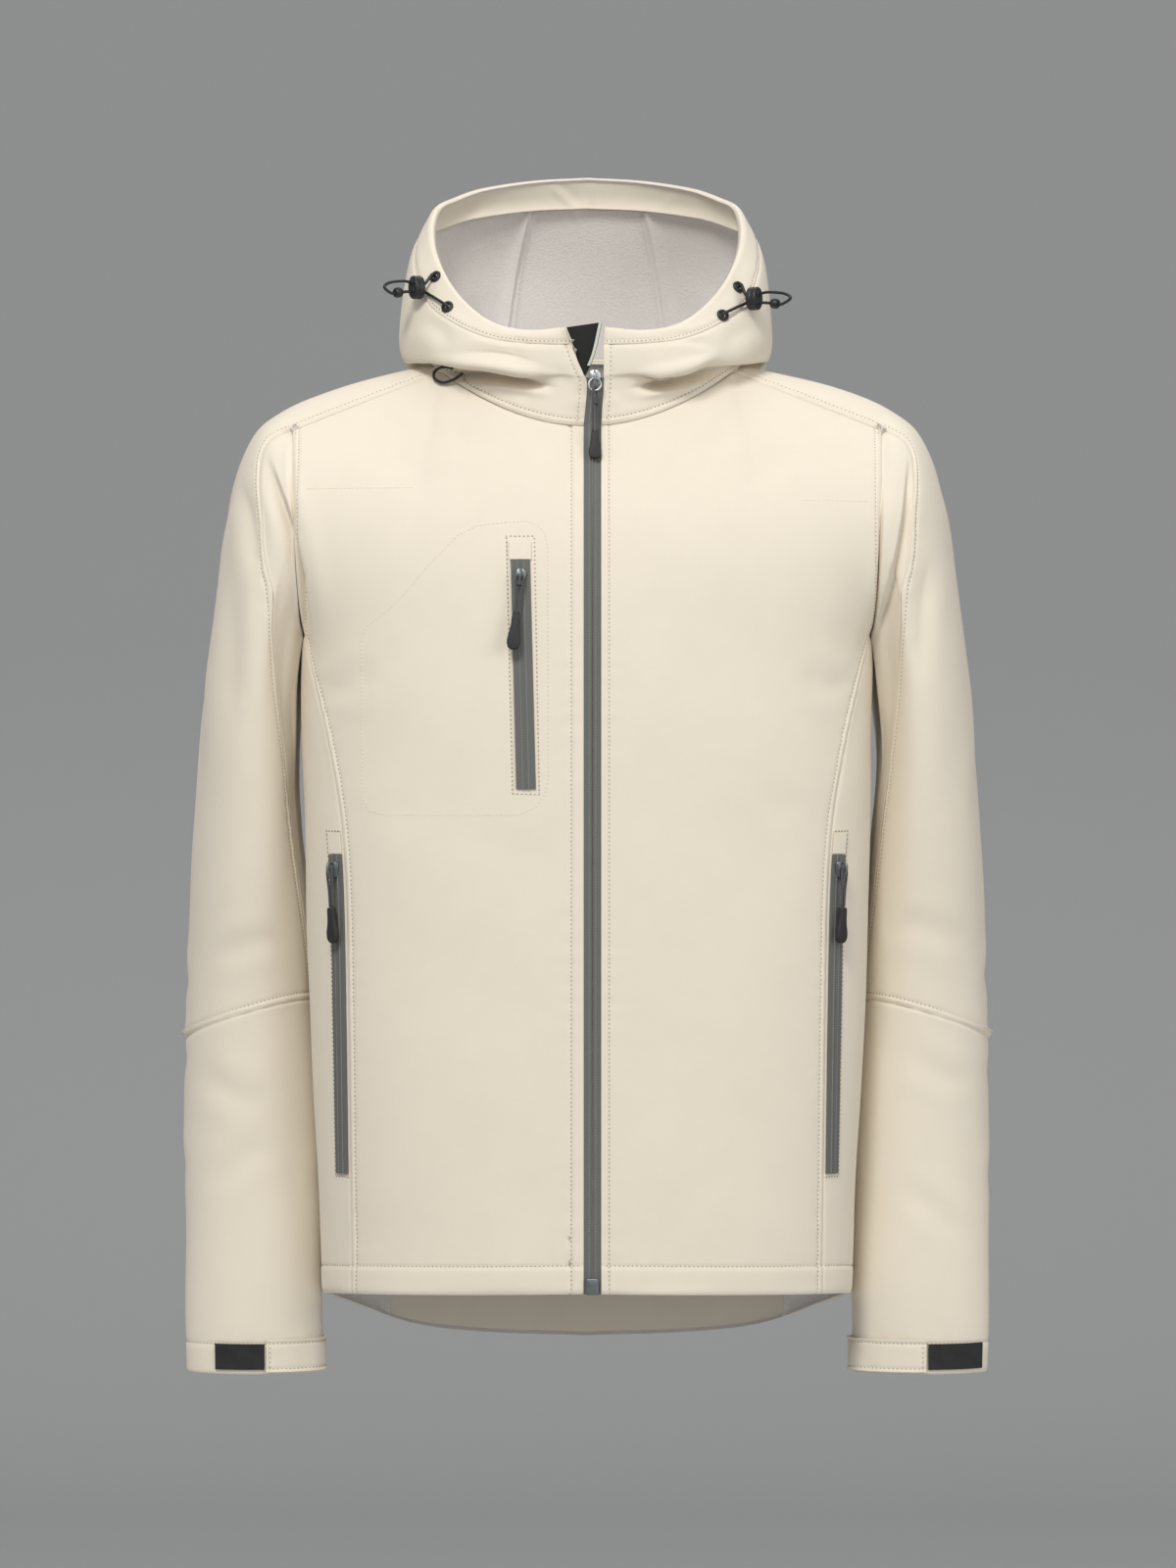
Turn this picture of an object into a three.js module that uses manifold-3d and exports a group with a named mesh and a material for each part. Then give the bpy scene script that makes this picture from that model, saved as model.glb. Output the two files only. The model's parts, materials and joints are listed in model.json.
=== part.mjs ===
// A hooded softshell jacket, filled out as if worn. Millimetres, +Z up, front towards -Y.
// The origin is the middle of the neck opening, level with the shoulders. Left is the wearer's (+X).
import * as THREE from 'three';
import { mergeVertices } from 'three/addons/utils/BufferGeometryUtils.js';
import Module from 'manifold-3d';

const wasm = await Module();
wasm.setup();

// Driving dimensions
const CLOTH = 1.8; // wall of the bonded softshell
const GAP = 0.3; // space between sewn pieces
const TAPE = 1.2; // thickness of a zip tape, patch or facing
const WIDEST_Y = -12; // the body is widest along this line
const FRONT_FULLNESS = 2.4; // exponent of the oval sections, 2 is an ellipse
const ZIP_EDGE = { '-1': 2.4, 1: 10.1 }; // front edges beside the main zip, right and left
const NECK = { y: -8, halfX: 115, front: 72, back: 66, frontZ: -41, rise: 49, sideZ: 8, backZ: 16 };
const NECK_SADDLE = { front: 68.8, back: 118 }; // angles where the saddle seams meet the neck
const ARMHOLE = { y: 4, z: -116, halfY: 78, halfZ: 86, foot: -58, top: 61, topX: 214.5 };
const ARMPIT_Z = ARMHOLE.z + ARMHOLE.halfZ * Math.sin(THREE.MathUtils.degToRad(ARMHOLE.foot));

// How many steps each seam is divided in. Pieces that share a seam share its steps.
const NECK_STEPS = 5;
const YOKE_STEPS = 5;
const ARM_STEPS = 10;
const UNDERARM_STEPS = 6;
const SADDLE_STEPS = 10;

// Heights of the body's rows from hem to armpit
const LOWER_ROWS = [-665, -651, -615, -568, -518, -468, -418, -368, -320, -281, -247, -216, ARMPIT_Z];
const LOWER = LOWER_ROWS.length - 1;
const TOP = LOWER + ARM_STEPS;

// Oval sections of the body: half width, depth at the front and back, and x of the princess seams
const BODY = [
  { z: -665, half: 193, front: 117, back: 112, full: 2.2, seam: 170, backSeam: 150 },
  { z: -640, half: 194, front: 117, back: 112, full: 2.2, seam: 170, backSeam: 150 },
  { z: -560, half: 198, front: 117, back: 112, full: 2.2, seam: 171, backSeam: 150 },
  { z: -470, half: 203, front: 118, back: 112, full: 2.2, seam: 172, backSeam: 152 },
  { z: -371, half: 206, front: 120, back: 113, full: 2.2, seam: 174, backSeam: 157 },
  { z: -320, half: 207, front: 121, back: 114, full: 2.35, seam: 178, backSeam: 163 },
  { z: -270, half: 208, front: 122, back: 115, full: 2.5, seam: 187, backSeam: 173 },
  { z: -227, half: 208.5, front: 122, back: 115, full: 2.6, seam: 197, backSeam: 186 },
  { z: ARMPIT_Z, half: 209, front: 121, back: 114, full: 2.7, seam: 206, backSeam: 198 },
];

// Height of the hem round the body, from centre front (0) to centre back (180)
const HEM = [
  { angle: 0, z: -663 },
  { angle: 60, z: -667 },
  { angle: 90, z: -672 },
  { angle: 115, z: -684 },
  { angle: 140, z: -704 },
  { angle: 160, z: -712 },
  { angle: 180, z: -715 },
];

// Centre front and centre back above the armpit, by the share of the way up the armhole
const CHEST = [
  { up: 0, z: ARMPIT_Z, front: 121, back: 114 },
  { up: 0.25, z: -150, front: 118, back: 114 },
  { up: 0.5, z: -112, front: 111, back: 110 },
  { up: 0.75, z: -76, front: 98, back: 102 },
  { up: 1, z: -41, front: 80, back: 92 },
];

// Sections of the sleeve from the neck (0) over the shoulder (5) to the cuff (18). Each is an oval about
// (cx, cy, cz) whose outermost point is (mx, mz), with its depth to the front, back and inside, and the
// angles of the two sleeve seams from the outermost line.
const SLEEVE = [
  { n: 0, mx: 115, mz: 8, cx: 113, cz: -32, cy: -5, front: 50, back: 50, inner: 40, seam: 36, rear: 34 },
  { n: 1, mx: 135, mz: 3.5, cx: 132, cz: -37, cy: -3, front: 50, back: 50, inner: 40, seam: 39, rear: 39 },
  { n: 2, mx: 155, mz: -1, cx: 151, cz: -42, cy: -1, front: 49, back: 50, inner: 40, seam: 42, rear: 43 },
  { n: 3, mx: 175, mz: -6, cx: 170, cz: -48, cy: 1, front: 47, back: 49, inner: 40, seam: 47, rear: 47 },
  { n: 4, mx: 196, mz: -12.5, cx: 188, cz: -54, cy: 3, front: 46, back: 48, inner: 40, seam: 52, rear: 52 },
  { n: 5, mx: 214, mz: -19.5, cx: 200, cz: -60, cy: 4, front: 46, back: 46, inner: 40, seam: 55, rear: 55 },
  { n: 6, mx: 229, mz: -28, cx: 204, cz: -66, cy: 4, front: 52, back: 54, inner: 36, seam: 51, rear: 52 },
  { n: 7, mx: 240.5, mz: -37, cx: 207, cz: -72, cy: 4, front: 58, back: 62, inner: 30, seam: 46, rear: 48 },
  { n: 8, mx: 249, mz: -50, cx: 209, cz: -79, cy: 4, front: 64, back: 68, inner: 22, seam: 46, rear: 50 },
  { n: 9, mx: 257, mz: -70, cx: 211, cz: -90, cy: 4, front: 71, back: 74, inner: 12, seam: 54, rear: 58 },
  { n: 10, mx: 264, mz: -98, cx: 214, cz: -108, cy: 4, front: 77, back: 78, inner: 6, seam: 64, rear: 68 },
  { n: 11, mx: 270.5, mz: -142, cx: 222, cz: -146, cy: 6, front: 78, back: 80, inner: 12, seam: 79, rear: 80 },
  { n: 12, mx: 279, mz: -205, cx: 236, cz: -205, cy: 9, front: 72, back: 77, inner: 20, seam: 119, rear: 100 },
  { n: 13, mx: 287, mz: -285, cx: 244, cz: -285, cy: 16, front: 68, back: 74, inner: 29, seam: 144, rear: 116 },
  { n: 14, mx: 293.5, mz: -380, cx: 246, cz: -380, cy: 27, front: 60, back: 62, inner: 40, seam: 152, rear: 126 },
  { n: 15, mx: 297, mz: -470, cx: 246, cz: -470, cy: 33, front: 54, back: 54, inner: 46.5, seam: 162, rear: 130 },
  { n: 16, mx: 297.5, mz: -560, cx: 245, cz: -560, cy: 28, front: 46, back: 46, inner: 50, seam: 164, rear: 132 },
  { n: 17, mx: 296, mz: -650, cx: 244, cz: -650, cy: 15, front: 36, back: 36, inner: 49, seam: 168, rear: 134 },
  { n: 18, mx: 294, mz: -731, cx: 244, cz: -731, cy: 5, front: 26, back: 26, inner: 49.5, seam: 170, rear: 136 },
];
const SHOULDER = 5;
const ELBOW = 15;
const CUFF = 18;

// Where the under sleeve's edge lies on the sleeve sections, down the armhole to the armpit
const UNDER_EDGE = [
  { step: 0, angle: 55, n: 5 },
  { step: 1, angle: 68, n: 6.6 },
  { step: 2, angle: 80, n: 8 },
  { step: 3, angle: 90, n: 9 },
  { step: 5, angle: 94, n: 10.1 },
  { step: 7, angle: 104, n: 11 },
  { step: 8, angle: 128, n: 11.4 },
  { step: 9, angle: 146, n: 11.7 },
  { step: 10, angle: 160, n: 11.9 },
];

// Lines round the hood by the neck angle: under the overhang, its fold, the belly, above it, the opening.
// From 128 degrees back the first three hang over the back, so their y is how far they lie off it.
const HOOD = [
  {
    angle: 5.98, ux: 12, uy: -81, uz: -12, fx: 12, fy: -83, fz: -4,
    bx: 12, by: -83.5, bz: 5, wx: 12, wy: -84, wz: 16, rx: 13, ry: -84, rz: 30,
  },
  {
    angle: 20, ux: 39.5, uy: -77.5, uz: -8, fx: 40.5, fy: -84, fz: -2,
    bx: 40.5, by: -86, bz: 7, wx: 40.5, wy: -86, wz: 17, rx: 40, ry: -84, rz: 28,
  },
  {
    angle: 35, ux: 67, uy: -69, uz: -3, fx: 71, fy: -79, fz: 1,
    bx: 71, by: -82, bz: 10, wx: 69, wy: -81, wz: 21, rx: 65, ry: -77, rz: 33,
  },
  {
    angle: 50, ux: 89, uy: -56, uz: 3, fx: 96, fy: -66, fz: 4,
    bx: 98, by: -69, bz: 15, wx: 94, wy: -68, wz: 31, rx: 86, ry: -63, rz: 48,
  },
  {
    angle: 66, ux: 107, uy: -39, uz: 8, fx: 117, fy: -46, fz: 7,
    bx: 121, by: -48, bz: 23, wx: 117, wy: -46, wz: 48, rx: 104, ry: -42, rz: 72,
  },
  {
    angle: 85, ux: 118, uy: -15, uz: 13.5, fx: 131, fy: -14, fz: 10,
    bx: 135, by: -13, bz: 31, wx: 129, wy: -13, wz: 74, rx: 114.5, ry: -12, rz: 101,
  },
  {
    angle: 104, ux: 117, uy: 10, uz: 15, fx: 131, fy: 22, fz: 10,
    bx: 137, by: 28, bz: 28, wx: 130, wy: 26, wz: 90, rx: 113, ry: 23, rz: 127,
  },
  {
    angle: 116, ux: 112, uy: 19, uz: 15, fx: 126, fy: 42, fz: 3,
    bx: 134, by: 52, bz: 22, wx: 121, wy: 54, wz: 92, rx: 99, ry: 43, rz: 137,
  },
  {
    angle: 128, ux: 98, uy: 7, uz: -4, fx: 112, fy: 16, fz: -40,
    bx: 126, by: 34, bz: -6, wx: 107, wy: 78, wz: 84, rx: 81, ry: 59, rz: 145,
  },
  {
    angle: 154, ux: 54, uy: 6, uz: -30, fx: 62, fy: 15, fz: -92,
    bx: 74, by: 32, bz: -52, wx: 60, wy: 112, wz: 72, rx: 42, ry: 77, rz: 153,
  },
  {
    angle: 180, ux: 0, uy: 6, uz: -38, fx: 0, fy: 15, fz: -110,
    bx: 0, by: 32, bz: -68, wx: 0, wy: 122, wz: 66, rx: 0, ry: 83, rz: 156,
  },
];
const BRIM = 24; // width of the band that holds the drawcord

// Colours
const ECRU = { color: 0xe3dac8, roughness: 0.8, metalness: 0 };
const GREY = { color: 0x55585a, roughness: 0.7, metalness: 0 };
const BLACK = { color: 0x18191b, roughness: 0.6, metalness: 0 };
const PALE = { color: 0xd6dad0, roughness: 0.7, metalness: 0 };
const STEEL = { color: 0x9aa0a6, roughness: 0.3, metalness: 1 };
const GUNMETAL = { color: 0x44505c, roughness: 0.35, metalness: 0.9 };

const jacket = new THREE.Group();

// Small maths

const rad = THREE.MathUtils.degToRad;
const deg = THREE.MathUtils.radToDeg;
const vec = (x, y, z) => new THREE.Vector3(x, y, z);
const lerp = (a, b, t) => a + (b - a) * t;
const clamp01 = (t) => Math.min(1, Math.max(0, t));
const mirror = (p, side) => vec(p.x * side, p.y, p.z);

// A smooth line through one column of a table, read at a place on its first column.
function through(table, key, name) {
  const k = table.map((row) => row[key]);
  const v = table.map((row) => row[name]);
  const last = k.length - 1;
  const slope = k.map((_, i) => {
    const a = Math.max(0, i - 1);
    const b = Math.min(last, i + 1);
    return (v[b] - v[a]) / (k[b] - k[a]);
  });
  return (at) => {
    let i = 0;
    while (i < last - 1 && at > k[i + 1]) i += 1;
    const h = k[i + 1] - k[i];
    const t = clamp01((at - k[i]) / h);
    const t2 = t * t;
    const t3 = t2 * t;
    return v[i] * (2 * t3 - 3 * t2 + 1) + slope[i] * h * (t3 - 2 * t2 + t)
      + v[i + 1] * (3 * t2 - 2 * t3) + slope[i + 1] * h * (t3 - t2);
  };
}

function columns(table, key) {
  const names = Object.keys(table[0]).filter((name) => name !== key);
  return Object.fromEntries(names.map((name) => [name, through(table, key, name)]));
}

const body = columns(BODY, 'z');
const hem = columns(HEM, 'angle');
const chest = columns(CHEST, 'up');
const sleeve = columns(SLEEVE, 'n');
const underEdge = columns(UNDER_EDGE, 'step');
const hood = columns(HOOD, 'angle');

// The body's surface, on the left side

function neckPoint(angle) {
  const s = Math.sin(rad(angle));
  const c = Math.cos(rad(angle));
  const x = NECK.halfX * s;
  const y = NECK.y - c * (c > 0 ? NECK.front : NECK.back);
  const z = c > 0 ? NECK.frontZ + NECK.rise * s * s : NECK.backZ - (NECK.backZ - NECK.sideZ) * s * s;
  return vec(x, y, z);
}

// A point on the closed oval at a level below the armpit. 0 is centre front, 90 the side, 180 the back.
function ringPoint(level, angle) {
  const s = Math.sin(rad(angle));
  const c = Math.cos(rad(angle));
  const n = c > 0 ? FRONT_FULLNESS : body.full(level);
  const depth = c > 0 ? body.front(level) + WIDEST_Y : body.back(level) - WIDEST_Y;
  const x = body.half(level) * Math.pow(Math.max(0, s), 2 / n);
  const y = WIDEST_Y - Math.sign(c) * depth * Math.pow(Math.abs(c), 2 / n);
  const drop = Math.pow(clamp01((-level - 430) / 235), 1.5);
  return vec(x, y, level + (hem.z(angle) + 665) * drop);
}

const seamAngle = (x, half, n) => deg(Math.asin(Math.pow(Math.min(1, x / half), n / 2)));
const frontSeam = (level) => seamAngle(body.seam(level), body.half(level), FRONT_FULLNESS);
const backSeam = (level) => 180 - seamAngle(body.backSeam(level), body.half(level), body.full(level));

// The armhole from its foot at the princess seam (0) to the saddle seam (1), at the front or back.
function armholePoint(up, back) {
  const angle = rad(lerp(ARMHOLE.foot, ARMHOLE.top, up));
  const foot = ringPoint(ARMPIT_Z, back ? backSeam(ARMPIT_Z) : frontSeam(ARMPIT_Z));
  const y = ARMHOLE.y + (back ? 1 : -1) * ARMHOLE.halfY * Math.cos(angle);
  const start = ARMHOLE.y + (back ? 1 : -1) * ARMHOLE.halfY * Math.cos(rad(ARMHOLE.foot));
  const x = lerp(foot.x, ARMHOLE.topX, Math.pow(up, 0.6));
  return vec(x, y + (foot.y - start) * (1 - up) * (1 - up), ARMHOLE.z + ARMHOLE.halfZ * Math.sin(angle));
}

// An oval quarter above the armpit, from x = start at the centre (0) to the armhole (1).
function chestPoint(across, up, back, start) {
  const edge = armholePoint(up, back);
  const middle = WIDEST_Y * (1 - up);
  const n = back ? lerp(body.full(ARMPIT_Z), 2.5, up) : FRONT_FULLNESS;
  const depth = back ? chest.back(up) - middle : chest.front(up) + middle;
  const share = Math.abs(edge.y - middle) / depth;
  const last = Math.acos(Math.pow(share, n / 2));
  const half = edge.x / Math.pow(Math.sin(last), 2 / n);
  const first = Math.asin(Math.pow(start / half, n / 2));
  const angle = lerp(first, last, across);
  const y = middle + (back ? 1 : -1) * depth * Math.pow(Math.cos(angle), 2 / n);
  return vec(half * Math.pow(Math.sin(angle), 2 / n), y, lerp(chest.z(up), edge.z, across * across));
}

// The top edge of a front or back: half of it is the neck seam, the other half the saddle seam.
function topEdge(across, back, start) {
  const centre = back ? 180 : deg(Math.asin(start / NECK.halfX));
  const corner = back ? NECK_SADDLE.back : NECK_SADDLE.front;
  if (across <= 0.5) return neckPoint(lerp(centre, corner, across * 2));
  return neckPoint(corner).lerp(armholePoint(1, back), across * 2 - 1);
}

// Fronts and back: across from the centre (0) to the side edge (1), by row from the hem upwards.
function panelPoint(across, row, back, start) {
  if (row <= LOWER) {
    const level = lerp(LOWER_ROWS[Math.floor(row)], LOWER_ROWS[Math.ceil(row)], row % 1);
    const n = back ? body.full(level) : FRONT_FULLNESS;
    const first = seamAngle(start, body.half(level), n);
    return back
      ? ringPoint(level, lerp(180 - first, backSeam(level), across))
      : ringPoint(level, lerp(first, frontSeam(level), across));
  }
  const up = (row - LOWER) / ARM_STEPS;
  const shift = topEdge(across, back, start).sub(chestPoint(across, 1, back, start));
  return chestPoint(across, up, back, start).addScaledVector(shift, up * up * up);
}

const frontPoint = (across, row, side) => panelPoint(across, row, false, ZIP_EDGE[side]);
const backPoint = (across, row) => panelPoint(across, row, true, 0);

// Side panel: across from the front (0) to the back seam (1). Its top edge is the armhole's bottom.
function sidePoint(across, row) {
  const level = lerp(LOWER_ROWS[Math.floor(row)], LOWER_ROWS[Math.ceil(row)], row % 1);
  const p = ringPoint(level, lerp(frontSeam(level), backSeam(level), across));
  const bow = Math.sin(Math.PI * across);
  p.z -= bow * 14 * Math.pow(clamp01((level + 290) / (ARMPIT_Z + 290)), 2);
  return p;
}

// The sleeve's surface, on the left side

const elbowDip = (angle) => -3.5 - 14 * Math.cos(rad(angle)) + 8 * Math.sin(rad(angle));

// A point on a sleeve section. 0 is the outermost line, 90 the front, 180 the inside, 270 the back.
function sectionPoint(angle, n) {
  const s = Math.sin(rad(angle));
  const c = Math.cos(rad(angle));
  const centre = vec(sleeve.cx(n), sleeve.cy(n), sleeve.cz(n));
  const out = vec(sleeve.mx(n), centre.y, sleeve.mz(n)).sub(centre);
  if (c < 0) out.setLength(sleeve.inner(n));
  const p = centre.addScaledVector(out, c);
  p.y -= s * (s > 0 ? sleeve.front(n) : sleeve.back(n));
  const near = clamp01(1 - Math.abs(n - ELBOW) / 1.5);
  p.z += elbowDip(angle) * near * near * (3 - 2 * near);
  return p;
}

// The long seam of the upper sleeve: the saddle seam up to the shoulder, then down to the elbow.
function sleeveSeam(n, back) {
  if (n <= SHOULDER) return topEdge(0.5 + n / SHOULDER / 2, back, 0);
  const angle = back ? -sleeve.rear(n) : sleeve.seam(n);
  const own = back ? -sleeve.rear(SHOULDER) : sleeve.seam(SHOULDER);
  const shift = armholePoint(1, back).sub(sectionPoint(own, SHOULDER));
  const fade = clamp01((SHOULDER + 3 - n) / 3);
  return sectionPoint(angle, n).addScaledVector(shift, fade * fade);
}

// Upper sleeve: across from the back seam (-1) over the outermost line (0) to the front seam (1).
function upperPoint(across, n) {
  const share = Math.abs(across);
  const back = across < 0;
  const seam = back ? -sleeve.rear(n) : sleeve.seam(n);
  const p = sectionPoint(seam * share, n);
  p.addScaledVector(sleeveSeam(n, back).sub(sectionPoint(seam, n)), share * share);
  if (n < 2.5) {
    const angle = lerp(NECK_SADDLE.back, NECK_SADDLE.front, (across + 1) / 2);
    const own = back ? -sleeve.rear(0) : sleeve.seam(0);
    const atNeck = sectionPoint(own * share, 0);
    atNeck.addScaledVector(sleeveSeam(0, back).sub(sectionPoint(own, 0)), share * share);
    p.addScaledVector(neckPoint(angle).sub(atNeck), Math.pow(1 - n / 2.5, 2));
  }
  return p;
}

// Steps round the armhole: down its front, under the arm and up its back.
const LOOP_STEPS = 2 * ARM_STEPS + UNDERARM_STEPS;

function armholeLoop(step) {
  if (step <= ARM_STEPS) return armholePoint(1 - step / ARM_STEPS, false);
  if (step <= ARM_STEPS + UNDERARM_STEPS) return sidePoint((step - ARM_STEPS) / UNDERARM_STEPS, LOWER);
  return armholePoint((step - ARM_STEPS - UNDERARM_STEPS) / ARM_STEPS, true);
}

function underStart(step) {
  if (step <= ARM_STEPS) return { angle: underEdge.angle(step), n: underEdge.n(step) };
  if (step <= ARM_STEPS + UNDERARM_STEPS) {
    const t = (step - ARM_STEPS) / UNDERARM_STEPS;
    return { angle: lerp(160, 200, t), n: 11.9 + 0.2 * t * (1 - t) };
  }
  const other = underStart(LOOP_STEPS - step);
  return { angle: 360 - other.angle, n: other.n };
}

function underEnd(step) {
  if (step <= ARM_STEPS) return { angle: sleeve.seam(SHOULDER + step), n: SHOULDER + step };
  if (step <= ARM_STEPS + UNDERARM_STEPS) {
    const t = (step - ARM_STEPS) / UNDERARM_STEPS;
    return { angle: lerp(sleeve.seam(ELBOW), 360 - sleeve.rear(ELBOW), t), n: ELBOW };
  }
  const n = SHOULDER + LOOP_STEPS - step;
  return { angle: 360 - sleeve.rear(n), n };
}

// Under sleeve: by the step round the armhole, from the armhole (0) to the upper sleeve or elbow (1).
function underPoint(step, down) {
  const a = underStart(step);
  const b = underEnd(step);
  const p = sectionPoint(lerp(a.angle, b.angle, down), lerp(a.n, b.n, down));
  p.addScaledVector(armholeLoop(step).sub(sectionPoint(a.angle, a.n)), Math.pow(1 - down, 4));
  if (step < ARM_STEPS || step > ARM_STEPS + UNDERARM_STEPS) {
    const seam = sleeveSeam(b.n, step > ARM_STEPS);
    p.addScaledVector(seam.sub(sectionPoint(b.angle, b.n)), down * down);
  }
  return p;
}

// Angles round the elbow and cuff: the upper sleeve's steps, then the under sleeve's.
function roundAngle(step) {
  if (step <= SADDLE_STEPS) {
    const across = 1 - (2 * step) / SADDLE_STEPS;
    return across < 0 ? 360 - across * -sleeve.rear(ELBOW) : across * sleeve.seam(ELBOW);
  }
  return lerp(360 - sleeve.rear(ELBOW), sleeve.seam(ELBOW), (step - SADDLE_STEPS) / UNDERARM_STEPS);
}
const ROUND_STEPS = SADDLE_STEPS + UNDERARM_STEPS;

// The back's surface over a place, for what hangs on it.
function overBack(x, z, lift) {
  let across = clamp01(Math.abs(x) / 214);
  let row = lerp(LOWER, TOP, clamp01((z - ARMPIT_Z) / 180));
  for (let i = 0; i < 24; i += 1) {
    const p = backPoint(across, row);
    across = clamp01(across + ((Math.abs(x) - p.x) / 214) * 0.8);
    row = Math.min(TOP, Math.max(LOWER, row + ((z - p.z) / 20) * 0.7));
  }
  return vec(x, backPoint(across, row).y + lift, z);
}

// The hood's surface, on the left side: by the neck angle and the line it has reached (0 neck, 5 opening).
function hoodLines(angle, side) {
  const line = (name) => vec(hood[`${name}x`](angle), hood[`${name}y`](angle), hood[`${name}z`](angle));
  const lines = [neckPoint(angle), line('u'), line('f'), line('b'), line('w'), line('r')];
  if (side < 0 && angle < 20) {
    const spread = (20 - angle) / 14;
    lines.forEach((p, i) => { p.x -= spread * [9.6, 9, 7, 4, 1, -2][i]; });
    lines[0].copy(neckPoint(angle));
  }
  const hang = THREE.MathUtils.smoothstep(angle, 116, 128);
  if (hang > 0) {
    for (const i of [1, 2, 3]) {
      const laid = overBack(lines[i].x, Math.min(lines[i].z, 6), lines[i].y);
      laid.z = lines[i].z;
      lines[i].y = lerp(hood[`${'nufb'[i]}y`](Math.min(angle, 116)), laid.y, hang);
    }
  }
  return lines;
}

function hoodPoint(angle, at, side) {
  const p = hoodLines(angle, side);
  const i = Math.min(4, Math.floor(at));
  const t = at - i;
  const a = p[Math.max(0, i - 1)];
  const d = p[Math.min(5, i + 2)];
  const m0 = p[i + 1].clone().sub(a).multiplyScalar(i === 0 ? 1 : 0.5);
  const m1 = d.clone().sub(p[i]).multiplyScalar(i === 4 ? 1 : 0.5);
  const t2 = t * t;
  const t3 = t2 * t;
  return vec(0, 0, 0)
    .addScaledVector(p[i], 2 * t3 - 3 * t2 + 1).addScaledVector(m0, t3 - 2 * t2 + t)
    .addScaledVector(p[i + 1], 3 * t2 - 2 * t3).addScaledVector(m1, t3 - t2);
}

const brimStart = (angle, side) => {
  const p = hoodLines(angle, side);
  return 5 - Math.min(0.9, BRIM / p[5].distanceTo(p[4]));
};

// Neck angles of the hood's steps: front neck, saddle end, back neck.
function hoodAngle(step, side) {
  const first = deg(Math.asin(ZIP_EDGE[side] / NECK.halfX));
  if (step <= NECK_STEPS) return lerp(first, NECK_SADDLE.front, step / NECK_STEPS);
  const past = step - NECK_STEPS;
  if (past <= SADDLE_STEPS) return lerp(NECK_SADDLE.front, NECK_SADDLE.back, past / SADDLE_STEPS);
  return lerp(NECK_SADDLE.back, 180, (past - SADDLE_STEPS) / NECK_STEPS);
}
const HOOD_STEPS = 2 * NECK_STEPS + SADDLE_STEPS;
const HOOD_SEAM = HOOD_STEPS - 2;
const HOOD_ROWS = [0, 0.5, 1, 1.5, 1.9, 2.2, 2.6, 3, 3.35, 3.7, 4];

// Building walls from a grid of points

// Outward directions at a grid's points. toward is a point inside the piece's curve, and beyond gives
// the points of the piece sewn to the first and last columns.
function gridNormals(grid, toward, closed, beyond) {
  const rows = grid.length - 1;
  const cols = grid[0].length - 1;
  const normals = grid.map((row, i) => row.map((_, j) => {
    const up = grid[Math.min(rows, i + 1)][j].clone().sub(grid[Math.max(0, i - 1)][j]);
    const past = (k) => {
      if (closed) return grid[i][(k + cols) % cols];
      if (beyond && (k < 0 || k > cols)) return beyond(i, k);
      return grid[i][Math.min(cols, Math.max(0, k))];
    };
    return past(j + 1).clone().sub(past(j - 1)).cross(up).normalize();
  }));
  let sum = 0;
  normals.forEach((row, i) => row.forEach((n, j) => { sum += n.dot(grid[i][j].clone().sub(toward)); }));
  if (sum < 0) normals.forEach((row) => row.forEach((n) => n.negate()));
  return normals;
}

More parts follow.
